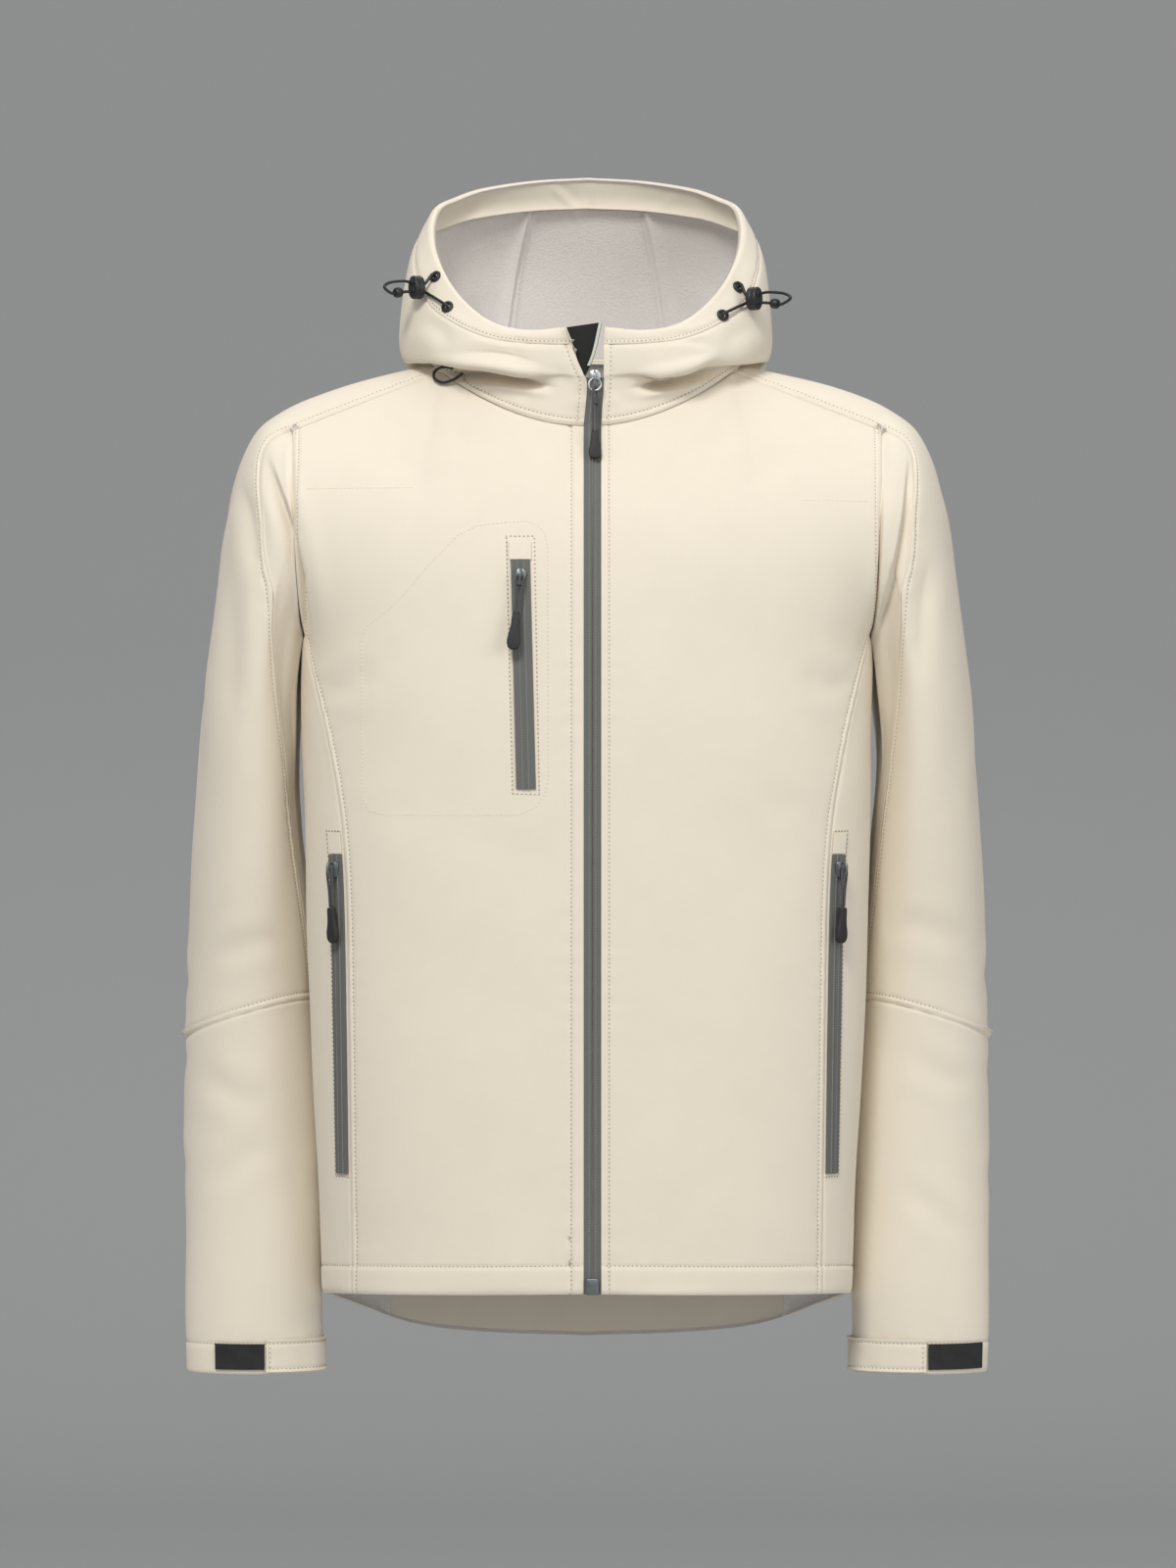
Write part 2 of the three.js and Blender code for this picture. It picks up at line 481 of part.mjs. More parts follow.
// A closed wall from a grid. Its faces lie lift and lift + thick outside the points; its edges keep half
// a gap to the next piece. closed joins the last column to the first; points are ends drawn to a point.
function wall(grid, toward, {
  thick = CLOTH, lift = -CLOTH, closed = false, edge = GAP / 2, points = false, beyond = null,
} = {}) {
  const rows = grid.length - 1;
  const cols = grid[0].length - 1;
  const normals = gridNormals(grid, toward, closed, beyond);
  if (points) {
    [[0, 1], [rows, rows - 1]].forEach(([end, next]) => {
      const mean = normals[next].reduce((sum, n) => sum.add(n), vec(0, 0, 0)).normalize();
      normals[end].forEach((n) => n.copy(mean));
    });
  }
  const spots = [];
  const place = (height, inset) => grid.map((row, i) => row.map((p, j) => {
    const shift = vec(0, 0, 0);
    const downward = grid[Math.min(rows, i + 1)][j].clone().sub(grid[Math.max(0, i - 1)][j]).normalize();
    const sideways = grid[i][Math.min(cols, j + 1)].clone().sub(grid[i][Math.max(0, j - 1)]).normalize();
    const toNext = (q, edgeLine) => {
      const inward = q.clone().sub(p);
      if (edgeLine) inward.addScaledVector(edgeLine, -inward.dot(edgeLine));
      shift.add(inward.setLength(inset));
    };
    const isPoint = points && (i === 0 || i === rows);
    const middle = Math.round(cols / 2);
    if (i === 0) toNext(grid[1][isPoint ? middle : j], !isPoint && !closed && sideways);
    if (i === rows) toNext(grid[rows - 1][isPoint ? middle : j], !isPoint && !closed && sideways);
    if (isPoint) shift.multiplyScalar(3);
    if (!closed && !isPoint && j === 0) toNext(grid[i][1], downward);
    if (!closed && !isPoint && j === cols) toNext(grid[i][cols - 1], downward);
    if (isPoint && j > 0) return spots.length - 1;
    if (closed && j === cols) return spots.length - cols;
    spots.push(p.clone().addScaledVector(normals[i][j], height).add(shift));
    return spots.length - 1;
  }));
  const outer = place(lift + thick, edge);
  const inner = place(lift, edge + 0.3 * Math.min(thick, 2));
  const faces = [];
  const quad = (a, b, c, d) => {
    if (a !== b && b !== c && a !== c) faces.push(a, b, c);
    if (a !== c && c !== d && a !== d) faces.push(a, c, d);
  };
  for (let i = 0; i < rows; i += 1) {
    for (let j = 0; j < cols; j += 1) {
      quad(outer[i][j], outer[i][j + 1], outer[i + 1][j + 1], outer[i + 1][j]);
      quad(inner[i][j], inner[i + 1][j], inner[i + 1][j + 1], inner[i][j + 1]);
    }
    if (!closed) {
      quad(outer[i][0], outer[i + 1][0], inner[i + 1][0], inner[i][0]);
      quad(outer[i][cols], inner[i][cols], inner[i + 1][cols], outer[i + 1][cols]);
    }
  }
  for (let j = 0; j < cols; j += 1) {
    quad(outer[0][j], inner[0][j], inner[0][j + 1], outer[0][j + 1]);
    quad(outer[rows][j], outer[rows][j + 1], inner[rows][j + 1], inner[rows][j]);
  }
  return facingOut(solid(spots, faces));
}

function solid(spots, faces) {
  const geometry = new THREE.BufferGeometry();
  const places = new THREE.Float32BufferAttribute(spots.flatMap((p) => [p.x, p.y, p.z]), 3);
  geometry.setAttribute('position', places);
  geometry.setIndex(faces);
  return geometry;
}

// Turns a solid's faces round where they point inwards.
function facingOut(geometry) {
  const { index } = geometry;
  const at = (i) => vec(0, 0, 0).fromBufferAttribute(geometry.attributes.position, index.getX(i));
  let volume = 0;
  for (let i = 0; i < index.count; i += 3) volume += at(i).dot(at(i + 1).cross(at(i + 2)));
  if (volume < 0) {
    for (let i = 0; i < index.count; i += 3) {
      const a = index.getX(i);
      index.setX(i, index.getX(i + 1));
      index.setX(i + 1, a);
    }
  }
  return geometry;
}

const grid = (rows, cols, point) => Array.from({ length: rows + 1 }, (_, i) => (
  Array.from({ length: cols + 1 }, (__, j) => point(i, j))));

function add(name, geometry, finish) {
  const mesh = new THREE.Mesh(geometry, new THREE.MeshStandardMaterial({ ...finish, name }));
  mesh.name = name;
  jacket.add(mesh);
  return mesh;
}

const tag = (side) => (side < 0 ? '_r' : '_l');
const sides = [-1, 1];

// Body panels

function addBody() {
  sides.forEach((side) => {
    add(`front${tag(side)}`, wall(grid(TOP, NECK_STEPS + YOKE_STEPS, (row, j) => (
      mirror(frontPoint(j / (NECK_STEPS + YOKE_STEPS), row, side), side))), vec(60 * side, 20, -330)), ECRU);
    add(`side${tag(side)}`, wall(grid(LOWER, UNDERARM_STEPS, (row, j) => (
      mirror(sidePoint(j / UNDERARM_STEPS, row), side))), vec(100 * side, 0, -400)), ECRU);
  });
  const half = NECK_STEPS + YOKE_STEPS;
  add('back', wall(grid(TOP, 2 * half, (row, j) => (
    mirror(backPoint(Math.abs(j - half) / half, row), j < half ? -1 : 1))), vec(0, -40, -330)), ECRU);
  add('back_hem_facing', wall(grid(1, 2 * half, (i, j) => (
    mirror(backPoint(Math.abs(j - half) / half, i ? 1.35 : 0), j < half ? -1 : 1))), vec(0, -40, -660),
  { thick: TAPE, lift: -CLOTH - GAP - TAPE, edge: 1.5 }), ECRU);
}

// Sleeves

function addSleeves() {
  sides.forEach((side) => {
    add(`sleeve_upper${tag(side)}`, wall(grid(ELBOW, SADDLE_STEPS, (n, j) => (
      mirror(upperPoint(1 - (2 * j) / SADDLE_STEPS, n), side))), vec(205 * side, 8, -200)), ECRU);
    add(`sleeve_under${tag(side)}`, wall(grid(LOOP_STEPS, 6, (step, j) => (
      mirror(underPoint(step, j / 6), side))), vec(245 * side, 8, -250), { points: true }), ECRU);
    add(`forearm${tag(side)}`, wall(grid(6, ROUND_STEPS, (i, step) => (
      mirror(sectionPoint(roundAngle(step), lerp(ELBOW, CUFF, i / 6)), side))),
    vec(245 * side, 15, -600), { closed: true }), ECRU);
  });
}

// Cuff straps and the loop patches that they close on

const CUFFS = {
  '-1': { strapFrom: 101, strapTo: 236, patchFrom: 57, patchTo: 99.5 },
  1: { strapFrom: 85.5, strapTo: 236, patchFrom: 28, patchTo: 84 },
};

function addCuffs() {
  const onCuff = (from, to, top, bottom, side) => (i, j) => {
    const n = lerp(CUFF, CUFF - 1, (731 + lerp(bottom, top, i)) / 81);
    return mirror(sectionPoint(lerp(from, to, j / 8), n), side);
  };
  sides.forEach((side) => {
    const cuff = CUFFS[side];
    const toward = vec(244 * side, 8, -715);
    add(`cuff_strap${tag(side)}`, wall(grid(1, 8, onCuff(cuff.strapFrom, cuff.strapTo, -705, -729, side)),
      toward, { lift: 3 * GAP, edge: 0 }), ECRU);
    add(`cuff_patch${tag(side)}`, wall(grid(1, 8, onCuff(cuff.patchFrom, cuff.patchTo, -708, -727, side)),
      toward, { thick: TAPE, lift: 3 * GAP, edge: 0 }), BLACK);
  });
}

// Hood

function addHood() {
  const inside = vec(0, 0, 50);
  const row = (angle, side, k) => {
    const last = HOOD_ROWS.length;
    const end = brimStart(angle, side);
    const at = k < last ? HOOD_ROWS[k] : end;
    return mirror(hoodPoint(angle, Math.min(at, end), side), side);
  };
  const rows = HOOD_ROWS.length;
  sides.forEach((side) => {
    const point = (k, j) => row(hoodAngle(Math.max(0, j), side), side, k);
    add(`hood_side${tag(side)}`, wall(grid(rows, HOOD_SEAM, point), inside, { beyond: point }), ECRU);
  });
  const middle = (k, j) => {
    const side = j < 2 ? -1 : 1;
    return row(hoodAngle(HOOD_STEPS - Math.abs(j - 2), side), side, k);
  };
  add('hood_center', wall(grid(rows, 4, middle), inside, { beyond: middle, edge: 2 * GAP }), ECRU);
  const band = (deep) => (i, j) => {
    const side = j < HOOD_STEPS ? -1 : 1;
    const angle = hoodAngle(HOOD_STEPS - Math.abs(j - HOOD_STEPS), side);
    const start = lerp(5, brimStart(angle, side), deep);
    return mirror(hoodPoint(angle, lerp(start, 5, i / 2), side), side);
  };
  add('hood_brim', wall(grid(2, 2 * HOOD_STEPS, band(1)), inside), ECRU);
  add('hood_facing', wall(grid(1, 2 * HOOD_STEPS, (i, j) => band(0.95)(2 * i, j)), inside,
    { thick: TAPE, lift: -CLOTH - 2 * GAP - TAPE, edge: 1 }), ECRU);
}

// Places on the cloth

// The frame of a spot on the cloth: x to the photo's right, y up along the cloth, z outwards.
function spotFrame(p, out, up) {
  const z = out.clone().normalize();
  const y = up.clone().addScaledVector(z, -up.dot(z)).normalize();
  return { p, out: z, up: y, across: y.clone().cross(z) };
}

function frameOf(point, u, v, du, dv, side) {
  const p = mirror(point(u, v), side);
  const along = mirror(point(u + du, v), side).sub(mirror(point(u - du, v), side));
  const up = mirror(point(u, v + dv), side).sub(mirror(point(u, v - dv), side));
  const out = along.cross(up).multiplyScalar(side);
  return spotFrame(p, out, up);
}

// The spot on a front panel that shows at (x, z).
function frontSpot(x, z, side) {
  let across = clamp01((x * side) / 200);
  let row = LOWER;
  for (let i = 0; i < 60; i += 1) {
    const p = frontPoint(across, row, side);
    across = Math.min(0.98, Math.max(0.02, across + ((x * side - p.x) / 214) * 0.7));
    row = Math.min(TOP - 0.1, Math.max(0.1, row + ((z - p.z) / 50) * 0.7));
  }
  return frameOf((u, v) => frontPoint(u, v, side), across, row, 0.01, 0.1, side);
}

// The spot on a side panel so far behind the front princess seam, at a height.
function sideSpot(behind, z, side) {
  const point = (d, level) => {
    const seam = frontSeam(level);
    const degree = ringPoint(level, seam).distanceTo(ringPoint(level, seam + 1));
    return ringPoint(level, seam + d / degree);
  };
  return frameOf(point, behind, z, 0.5, 2, side);
}

// The spot on the brim band's outside that shows at (x, z).
function brimSpot(x, z, side) {
  let best = null;
  for (let angle = 45; angle < 100; angle += 1) {
    for (let at = 4.1; at < 5; at += 0.03) {
      const p = hoodPoint(angle, at, side);
      const miss = Math.hypot(p.x - x * side, p.z - z);
      if (!best || miss < best.miss) best = { miss, angle, at };
    }
  }
  return frameOf((u, v) => hoodPoint(u, v, side), best.angle, best.at, 0.5, 0.03, side);
}

const out = (spot, x, y, z) => spot.p.clone()
  .addScaledVector(spot.across, x).addScaledVector(spot.up, y).addScaledVector(spot.out, z);

// Sets a mesh on a spot, shifted in the spot's own directions.
function seat(mesh, spot, x = 0, y = 0, z = 0) {
  const basis = new THREE.Matrix4().makeBasis(spot.across, spot.up, spot.out);
  mesh.quaternion.setFromRotationMatrix(basis);
  mesh.position.copy(out(spot, x, y, z));
  return mesh;
}

// Shapes of the hardware

function joined(a, b) {
  const toManifold = (geometry) => {
    const bare = geometry.clone();
    bare.deleteAttribute('normal');
    bare.deleteAttribute('uv');
    const merged = mergeVertices(bare, 1e-4);
    return new wasm.Manifold(new wasm.Mesh({
      numProp: 3,
      vertProperties: new Float32Array(merged.attributes.position.array),
      triVerts: new Uint32Array(merged.index.array),
    }));
  };
  const mesh = toManifold(a).add(toManifold(b)).getMesh();
  const geometry = new THREE.BufferGeometry();
  geometry.setAttribute('position', new THREE.Float32BufferAttribute(mesh.vertProperties, 3));
  geometry.setIndex(Array.from(mesh.triVerts));
  return geometry;
}

const EYE = { lift: 5.4, radius: 1.5 }; // the slider's eye, over the cloth
const PULL_CORD = 0.9; // radius of the grey cord on a pull

// A slider: a rounded plate with a narrow bridge that holds the eye.
function sliderGeometry(width, length) {
  const plate = new THREE.Shape();
  plate.moveTo(-width * 0.32, -length / 2);
  plate.lineTo(width * 0.32, -length / 2);
  plate.lineTo(width / 2, length * 0.1);
  plate.lineTo(width / 2, length * 0.36);
  plate.lineTo(width * 0.3, length / 2);
  plate.lineTo(-width * 0.3, length / 2);
  plate.lineTo(-width / 2, length * 0.36);
  plate.lineTo(-width / 2, length * 0.1);
  plate.closePath();
  const base = new THREE.ExtrudeGeometry(plate, { depth: 3.2, bevelEnabled: false });
  const arch = new THREE.Shape();
  arch.moveTo(-length * 0.38, 2.6);
  arch.lineTo(length * 0.4, 2.6);
  arch.quadraticCurveTo(length * 0.4, 8, EYE.radius + 1, 8);
  arch.lineTo(-EYE.radius - 0.6, 8);
  arch.quadraticCurveTo(-length * 0.3, 7, -length * 0.38, 2.6);
  const eye = new THREE.Path();
  eye.absarc(0, EYE.lift, EYE.radius, 0, 2 * Math.PI, true);
  arch.holes.push(eye);
  const bridge = new THREE.ExtrudeGeometry(arch, { depth: 2, bevelEnabled: false, curveSegments: 5 });
  // the arch is drawn along the slider, so its own x turns to +y and its y to +z
  bridge.applyMatrix4(new THREE.Matrix4().makeBasis(vec(0, 1, 0), vec(0, 0, 1), vec(1, 0, 0)));
  bridge.translate(-1, 0, 0);
  return joined(base, bridge);
}

// A cord's tube along a smooth line through points.
function cordGeometry(points, radius, steps, sidesRound = 8) {
  const round = new THREE.Shape();
  for (let i = 0; i < sidesRound; i += 1) {
    const a = (2 * Math.PI * i) / sidesRound;
    if (i) round.lineTo(radius * Math.cos(a), radius * Math.sin(a));
    else round.moveTo(radius, 0);
  }
  round.closePath();
  const path = new THREE.CatmullRomCurve3(points, false, 'centripetal');
  return new THREE.ExtrudeGeometry(round, { steps, extrudePath: path, bevelEnabled: false });
}

// The grey cord of a pull: two strands up from the tab, over the eye or the ring's wire at height top.
function pullCordGeometry(top, length, overWire) {
  const spread = overWire ? 0.4 : 1.5;
  const deep = overWire ? 2.4 : 0.1;
  const z = EYE.lift;
  return cordGeometry([
    vec(-1.4, -length, z), vec(-1.5, -length * 0.6 + top * 0.4, z + deep * 0.5),
    vec(-spread - 1, top - 3, z + deep), vec(-spread, top + (overWire ? 2 : 0), z + deep * 0.6),
    ...(overWire ? [vec(0, top + 2.9, z)] : [vec(0, top + 0.1, z)]),
    vec(spread, top + (overWire ? 2 : 0), z - deep * 0.6), vec(spread + 1, top - 3, z - deep),
    vec(1.5, -length * 0.6 + top * 0.4, z - deep * 0.5), vec(1.4, -length, z),
  ], PULL_CORD, 18, 6);
}

// The moulded tab: a flat drop with its narrow end up.
function tabGeometry(width, length) {
  const drop = new THREE.Shape();
  drop.moveTo(-width * 0.36, 0);
  drop.lineTo(width * 0.36, 0);
  drop.quadraticCurveTo(width * 0.5, -length * 0.5, width * 0.48, -length * 0.75);
  drop.quadraticCurveTo(width * 0.44, -length, 0, -length);
  drop.quadraticCurveTo(-width * 0.44, -length, -width * 0.48, -length * 0.75);
  drop.quadraticCurveTo(-width * 0.5, -length * 0.5, -width * 0.36, 0);
  return new THREE.ExtrudeGeometry(drop, { depth: 4, bevelEnabled: false, curveSegments: 5 });
}

// A ring or bead turned about z, with a hole.
function turnedRing(hole, outside, height) {
  const half = height / 2;
  const soft = Math.min(outside - hole, height) * 0.3;
  const profile = [
    [hole, -half], [outside - soft, -half], [outside, -half + soft], [outside, half - soft],
    [outside - soft, half], [hole, half], [hole, -half],
  ].map(([x, y]) => new THREE.Vector2(x, y));
  return new THREE.LatheGeometry(profile, 10).rotateX(Math.PI / 2);
}

// Zips

// A strip on the cloth: rows of spots from one edge to the other, lifted off the cloth.
const strip = (rows, cols, spot, options) => wall(
  grid(rows, cols, (i, j) => spot(i / rows, j / cols).p),
  spot(0.5, 0.5).p.clone().addScaledVector(spot(0.5, 0.5).out, -60),
  { thick: TAPE, lift: GAP, edge: 0, ...options },
);

function addPull(name, spot, cordLength, tabWidth, tabLength) {
  add(`${name.cord}`, pullCordGeometry(0, cordLength, false), GREY);
  seat(jacket.getObjectByName(name.cord), spot);
  seat(add(name.tab, tabGeometry(tabWidth, tabLength), BLACK), spot, 0, -cordLength - GAP, EYE.lift - 2);
}

// The line between the two fronts, at a share across the gap and a row up the body and collar.
const COLLAR_ROWS = [0.4, 0.9, 1.5];
function zipLine(share, row) {
  const at = (side) => {
    if (row <= TOP) return mirror(frontPoint(0, row, side), side);
    return mirror(hoodPoint(hoodAngle(0, side), COLLAR_ROWS[row - TOP - 1], side), side);
  };
  return at(-1).lerp(at(1), share);
}

const MAIN_ZIP = { ring: 4.4, wire: 0.8, cord: 30, tabWidth: 9.5, tabLength: 20, lean: 0.16 };

function addMainZip() {
  const rows = TOP + COLLAR_ROWS.length;
  const behind = { thick: TAPE, lift: -TAPE - 0.3, edge: GAP / 2 };
  add('zip_tape_r', wall(grid(rows, 1, (i, j) => zipLine(j / 2, i)), vec(0, 200, -330), behind), GREY);
  add('zip_tape_l', wall(grid(rows, 1, (i, j) => zipLine(0.5 + j / 2, i)), vec(0, 200, -330), behind), GREY);
  const p = zipLine(0.5, rows);
  const below = zipLine(0.5, rows - 1);
  const spot = spotFrame(p.clone().lerp(below, 0.1), vec(0, -1, 0), p.clone().sub(below));
  seat(add('zip_slider', sliderGeometry(8.5, 13), STEEL), spot, 0, 0, 0.3);
  // the chest holds the pull a little forward of plumb
  const { lean } = MAIN_ZIP;
  const hang = spotFrame(out(spot, 0, 0, EYE.lift + 0.3), vec(0, -1, lean), vec(0, lean, 1));
  hang.p.addScaledVector(hang.out, -EYE.lift);
  const ring = new THREE.TorusGeometry(MAIN_ZIP.ring, MAIN_ZIP.wire, 6, 14);
  seat(add('zip_ring', ring, STEEL), hang, 0, -MAIN_ZIP.ring, EYE.lift);
  const top = -2 * MAIN_ZIP.ring;
  const length = MAIN_ZIP.cord - top;
  seat(add('zip_cord', pullCordGeometry(top, length, true), GREY), hang);
  seat(add('zip_tab', tabGeometry(MAIN_ZIP.tabWidth, MAIN_ZIP.tabLength), BLACK), hang, 0, -length - GAP,
    EYE.lift - 2);
  const foot = zipLine(0.5, 0).lerp(zipLine(0.5, 1), 0.42);
  const box = add('zip_box', new THREE.BoxGeometry(9, 12, 4), GUNMETAL);
  seat(box, spotFrame(foot, vec(0, -1, 0), vec(0, 0, 1)), 0, 0, 2);
}

const CHEST_ZIP = { topX: -47.5, topZ: -139.5, bottomX: -43.4, bottomZ: -302.5, width: 13.8 };

function addChestZip() {
  const z = CHEST_ZIP;
  const spotAt = (up, across, wide) => frontSpot(
    lerp(z.bottomX, z.topX, up) + (across - 0.5) * wide, lerp(z.bottomZ, z.topZ, up), -1);
  add('chest_zip_tape', strip(9, 1, (up, across) => spotAt(up, across, z.width)), GREY);
  add('chest_garage', strip(1, 1, (up, across) => spotAt(1.004 + up * 0.078, across, z.width + 2)), ECRU);
  const spot = spotAt(0.925, 0.5, 0);
  seat(add('chest_slider', sliderGeometry(8, 12), GUNMETAL), spot, 0, 0, TAPE + 2 * GAP);
  const seated = { ...spot, p: out(spot, 0, 0, TAPE + 2 * GAP) };
  addPull({ cord: 'chest_cord', tab: 'chest_tab' }, seated, 27, 10, 26);
}

const POCKET_ZIP = { behind: 1.5, width: 13, topZ: -350, bottomZ: -579, garage: 15 };

function addPocketZips() {
  const z = POCKET_ZIP;
  sides.forEach((side) => {
    const spotAt = (up, across) => sideSpot(z.behind + across * z.width, lerp(z.bottomZ, z.topZ, up), side);
    add(`pocket_zip_tape${tag(side)}`, strip(12, 1, spotAt), GREY);
    const garage = z.garage / (z.topZ - z.bottomZ);
    add(`pocket_garage${tag(side)}`, strip(1, 1, (up, across) => spotAt(1.003 + up * garage, across)), ECRU);
    const spot = spotAt(0.955, 0.5);
    seat(add(`pocket_slider${tag(side)}`, sliderGeometry(8, 12), GUNMETAL), spot, 0, 0, TAPE + 2 * GAP);
    addPull({ cord: `pocket_cord${tag(side)}`, tab: `pocket_tab${tag(side)}` },
      { ...spot, p: out(spot, 0, 0, TAPE + 2 * GAP) }, 27, 10, 26);
  });
}

// Chin guard behind the open top of the zip, and its pale bound edge
const CHIN = [
  { up: 0, left: -5, right: -1.2, z: -5 },
  { up: 0.4, left: -11, right: 5.4, z: 9 },
  { up: 1, left: -19, right: 11, z: 32 },
];

function addChinGuard() {
  const chin = columns(CHIN, 'up');
  const at = (up, across, y) => vec(lerp(chin.left(up), chin.right(up), across), y, chin.z(up));
  add('chin_guard', wall(grid(4, 3, (i, j) => at(i / 4, j / 3, -80.2)), vec(0, 0, 10),
    { thick: TAPE, lift: -TAPE, edge: 0 }), BLACK);
  const strand = (i, j) => at(0.2 + i * 0.2, 1, -80.8).add(vec(j * 2.2 - 2.4, 0, 0));
  add('chin_binding', wall(grid(4, 1, strand), vec(0, 0, 10), { thick: TAPE, lift: -GAP, edge: 0 }), PALE);
}

// Hood drawcord: each side has two eyelets on the brim band, a cord lock and a bead on the loop.
const DRAWCORD = 1.1; // radius
const HARDWARE = {
  '-1': { upperX: -111, upperZ: 70, lowerX: -101, lowerZ: 46, lockX: -117, lockZ: 57.5, reach: 21 },
  1: { upperX: 110, upperZ: 62, lowerX: 98, lowerZ: 40, lockX: 114.5, lockZ: 49, reach: 24 },
};
const LOCK = { width: 13, height: 17, depth: 8, hole: 1.6, apart: 3.2, off: 10 };
const BEAD = { hole: 1.7, radius: 3.7, length: 6 };

function addDrawcord(side) {
  const h = HARDWARE[side];
  const upper = brimSpot(h.upperX, h.upperZ, side);
  const lower = brimSpot(h.lowerX, h.lowerZ, side);
  const middle = brimSpot(h.lockX, h.lockZ, side);
  const eyelet = () => turnedRing(2, 4.6, 1.6);
  seat(add(`eyelet_upper${tag(side)}`, eyelet(), BLACK), upper, 0, 0, 0.8 + GAP);
  seat(add(`eyelet_lower${tag(side)}`, eyelet(), BLACK), lower, 0, 0, 0.8 + GAP);
  // the lock's holes point sideways and a little forwards
  const aim = spotFrame(middle.p.clone().addScaledVector(middle.out, LOCK.off),
    vec(side * 0.86, -0.5, 0), vec(side * 0.1, 0, 1));
  const face = new THREE.Shape();
  face.absellipse(0, 0, LOCK.width / 2, LOCK.height / 2, 0, 2 * Math.PI, false);
  [-1, 1].forEach((end) => {
    const hole = new THREE.Path();
    hole.absarc(0, end * LOCK.apart, LOCK.hole, 0, 2 * Math.PI, true);
    face.holes.push(hole);
  });
  const lock = new THREE.ExtrudeGeometry(face, { depth: LOCK.depth, bevelEnabled: false, curveSegments: 8 });
  seat(add(`cord_lock${tag(side)}`, lock, BLACK), aim, 0, 0, -LOCK.depth / 2);
  const a = LOCK.apart;
  const d = LOCK.depth;
  const bead = out(aim, 0, -a - 1.2, d / 2 + h.reach * 0.55);
  const beadFrame = spotFrame(bead, aim.out.clone().addScaledVector(aim.up, -0.14), aim.up);
  seat(add(`cord_bead${tag(side)}`, turnedRing(BEAD.hole, BEAD.radius, BEAD.length), BLACK), beadFrame);
  const line = [
    out(upper, 0, 0, 0.4), out(upper, 0, 0, 4), out(aim, 0, a, -d / 2 - 3), out(aim, 0, a, -d / 2),
    out(aim, 0, a, d / 2), out(aim, 0, a + 1, d / 2 + h.reach * 0.3),
    out(aim, 0, a - 0.5, d / 2 + h.reach * 0.85), out(aim, 0, -1, d / 2 + h.reach * 1.08),
    out(beadFrame, 0, 0, BEAD.length * 0.9), out(beadFrame, 0, 0, 0),
    out(beadFrame, 0, 0, -BEAD.length * 0.9),
    out(aim, 0, -a, d / 2), out(aim, 0, -a, -d / 2), out(aim, 0, -a, -d / 2 - 3),
    out(lower, 0, 0, 4), out(lower, 0, 0, 0.4),
  ];
  add(`drawcord${tag(side)}`, cordGeometry(line, DRAWCORD, 40), BLACK);
}

// The elastic loop that shows under the hood's overhang on the right
function addHoodLoop() {
  const points = [
    vec(-90, -56.2, -1.5), vec(-97, -53, -6), vec(-105, -46.5, -7.5), vec(-111, -41.5, -4),
    vec(-110.5, -39.5, 1.5), vec(-104, -46, 4), vec(-97, -52.2, 2.2),
  ];
  add('hood_loop', cordGeometry(points, DRAWCORD, 20), BLACK);
}

addBody();
addSleeves();
addCuffs();
addHood();
addMainZip();
addChestZip();
addPocketZips();
addChinGuard();
sides.forEach(addDrawcord);
addHoodLoop();

export default jacket;
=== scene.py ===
"""A hooded softshell jacket, filled out as if worn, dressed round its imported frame.

Each cloth piece is a thin panel on the form of its solid: a grid is laid on the surface, refined, and
raised by folds, seams and stitches. Lengths are in millimetres until a mesh is made.
"""

import json
import math
from bisect import bisect_right
from functools import lru_cache

import bmesh
import bpy
import numpy as np
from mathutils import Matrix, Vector
from mathutils.bvhtree import BVHTree


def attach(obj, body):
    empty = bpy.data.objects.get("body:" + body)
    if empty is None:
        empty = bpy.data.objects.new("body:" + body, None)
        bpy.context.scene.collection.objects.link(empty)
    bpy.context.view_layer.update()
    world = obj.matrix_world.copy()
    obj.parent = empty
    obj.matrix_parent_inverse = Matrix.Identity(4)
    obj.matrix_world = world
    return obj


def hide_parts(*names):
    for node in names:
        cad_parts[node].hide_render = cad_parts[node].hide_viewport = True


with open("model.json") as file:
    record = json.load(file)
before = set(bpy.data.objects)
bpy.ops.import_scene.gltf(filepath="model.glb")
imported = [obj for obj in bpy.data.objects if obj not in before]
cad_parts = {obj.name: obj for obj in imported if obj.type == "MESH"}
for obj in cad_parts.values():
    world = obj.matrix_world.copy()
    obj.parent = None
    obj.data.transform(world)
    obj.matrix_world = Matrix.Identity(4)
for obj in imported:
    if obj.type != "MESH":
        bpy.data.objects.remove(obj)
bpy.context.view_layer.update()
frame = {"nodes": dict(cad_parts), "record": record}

bl_info = {
    "name": "Softshell jacket",
    "version": (1, 0, 0),
    "blender": (4, 5, 0),
    "location": "3D View > Sidebar > Jacket",
    "description": "Cloth panels, seams, stitches, zips and trims of a hooded softshell jacket",
    "category": "Object",
}

BODY = "jacket"
SIDES = ((-1, "_r"), (1, "_l"))
MM = 0.001

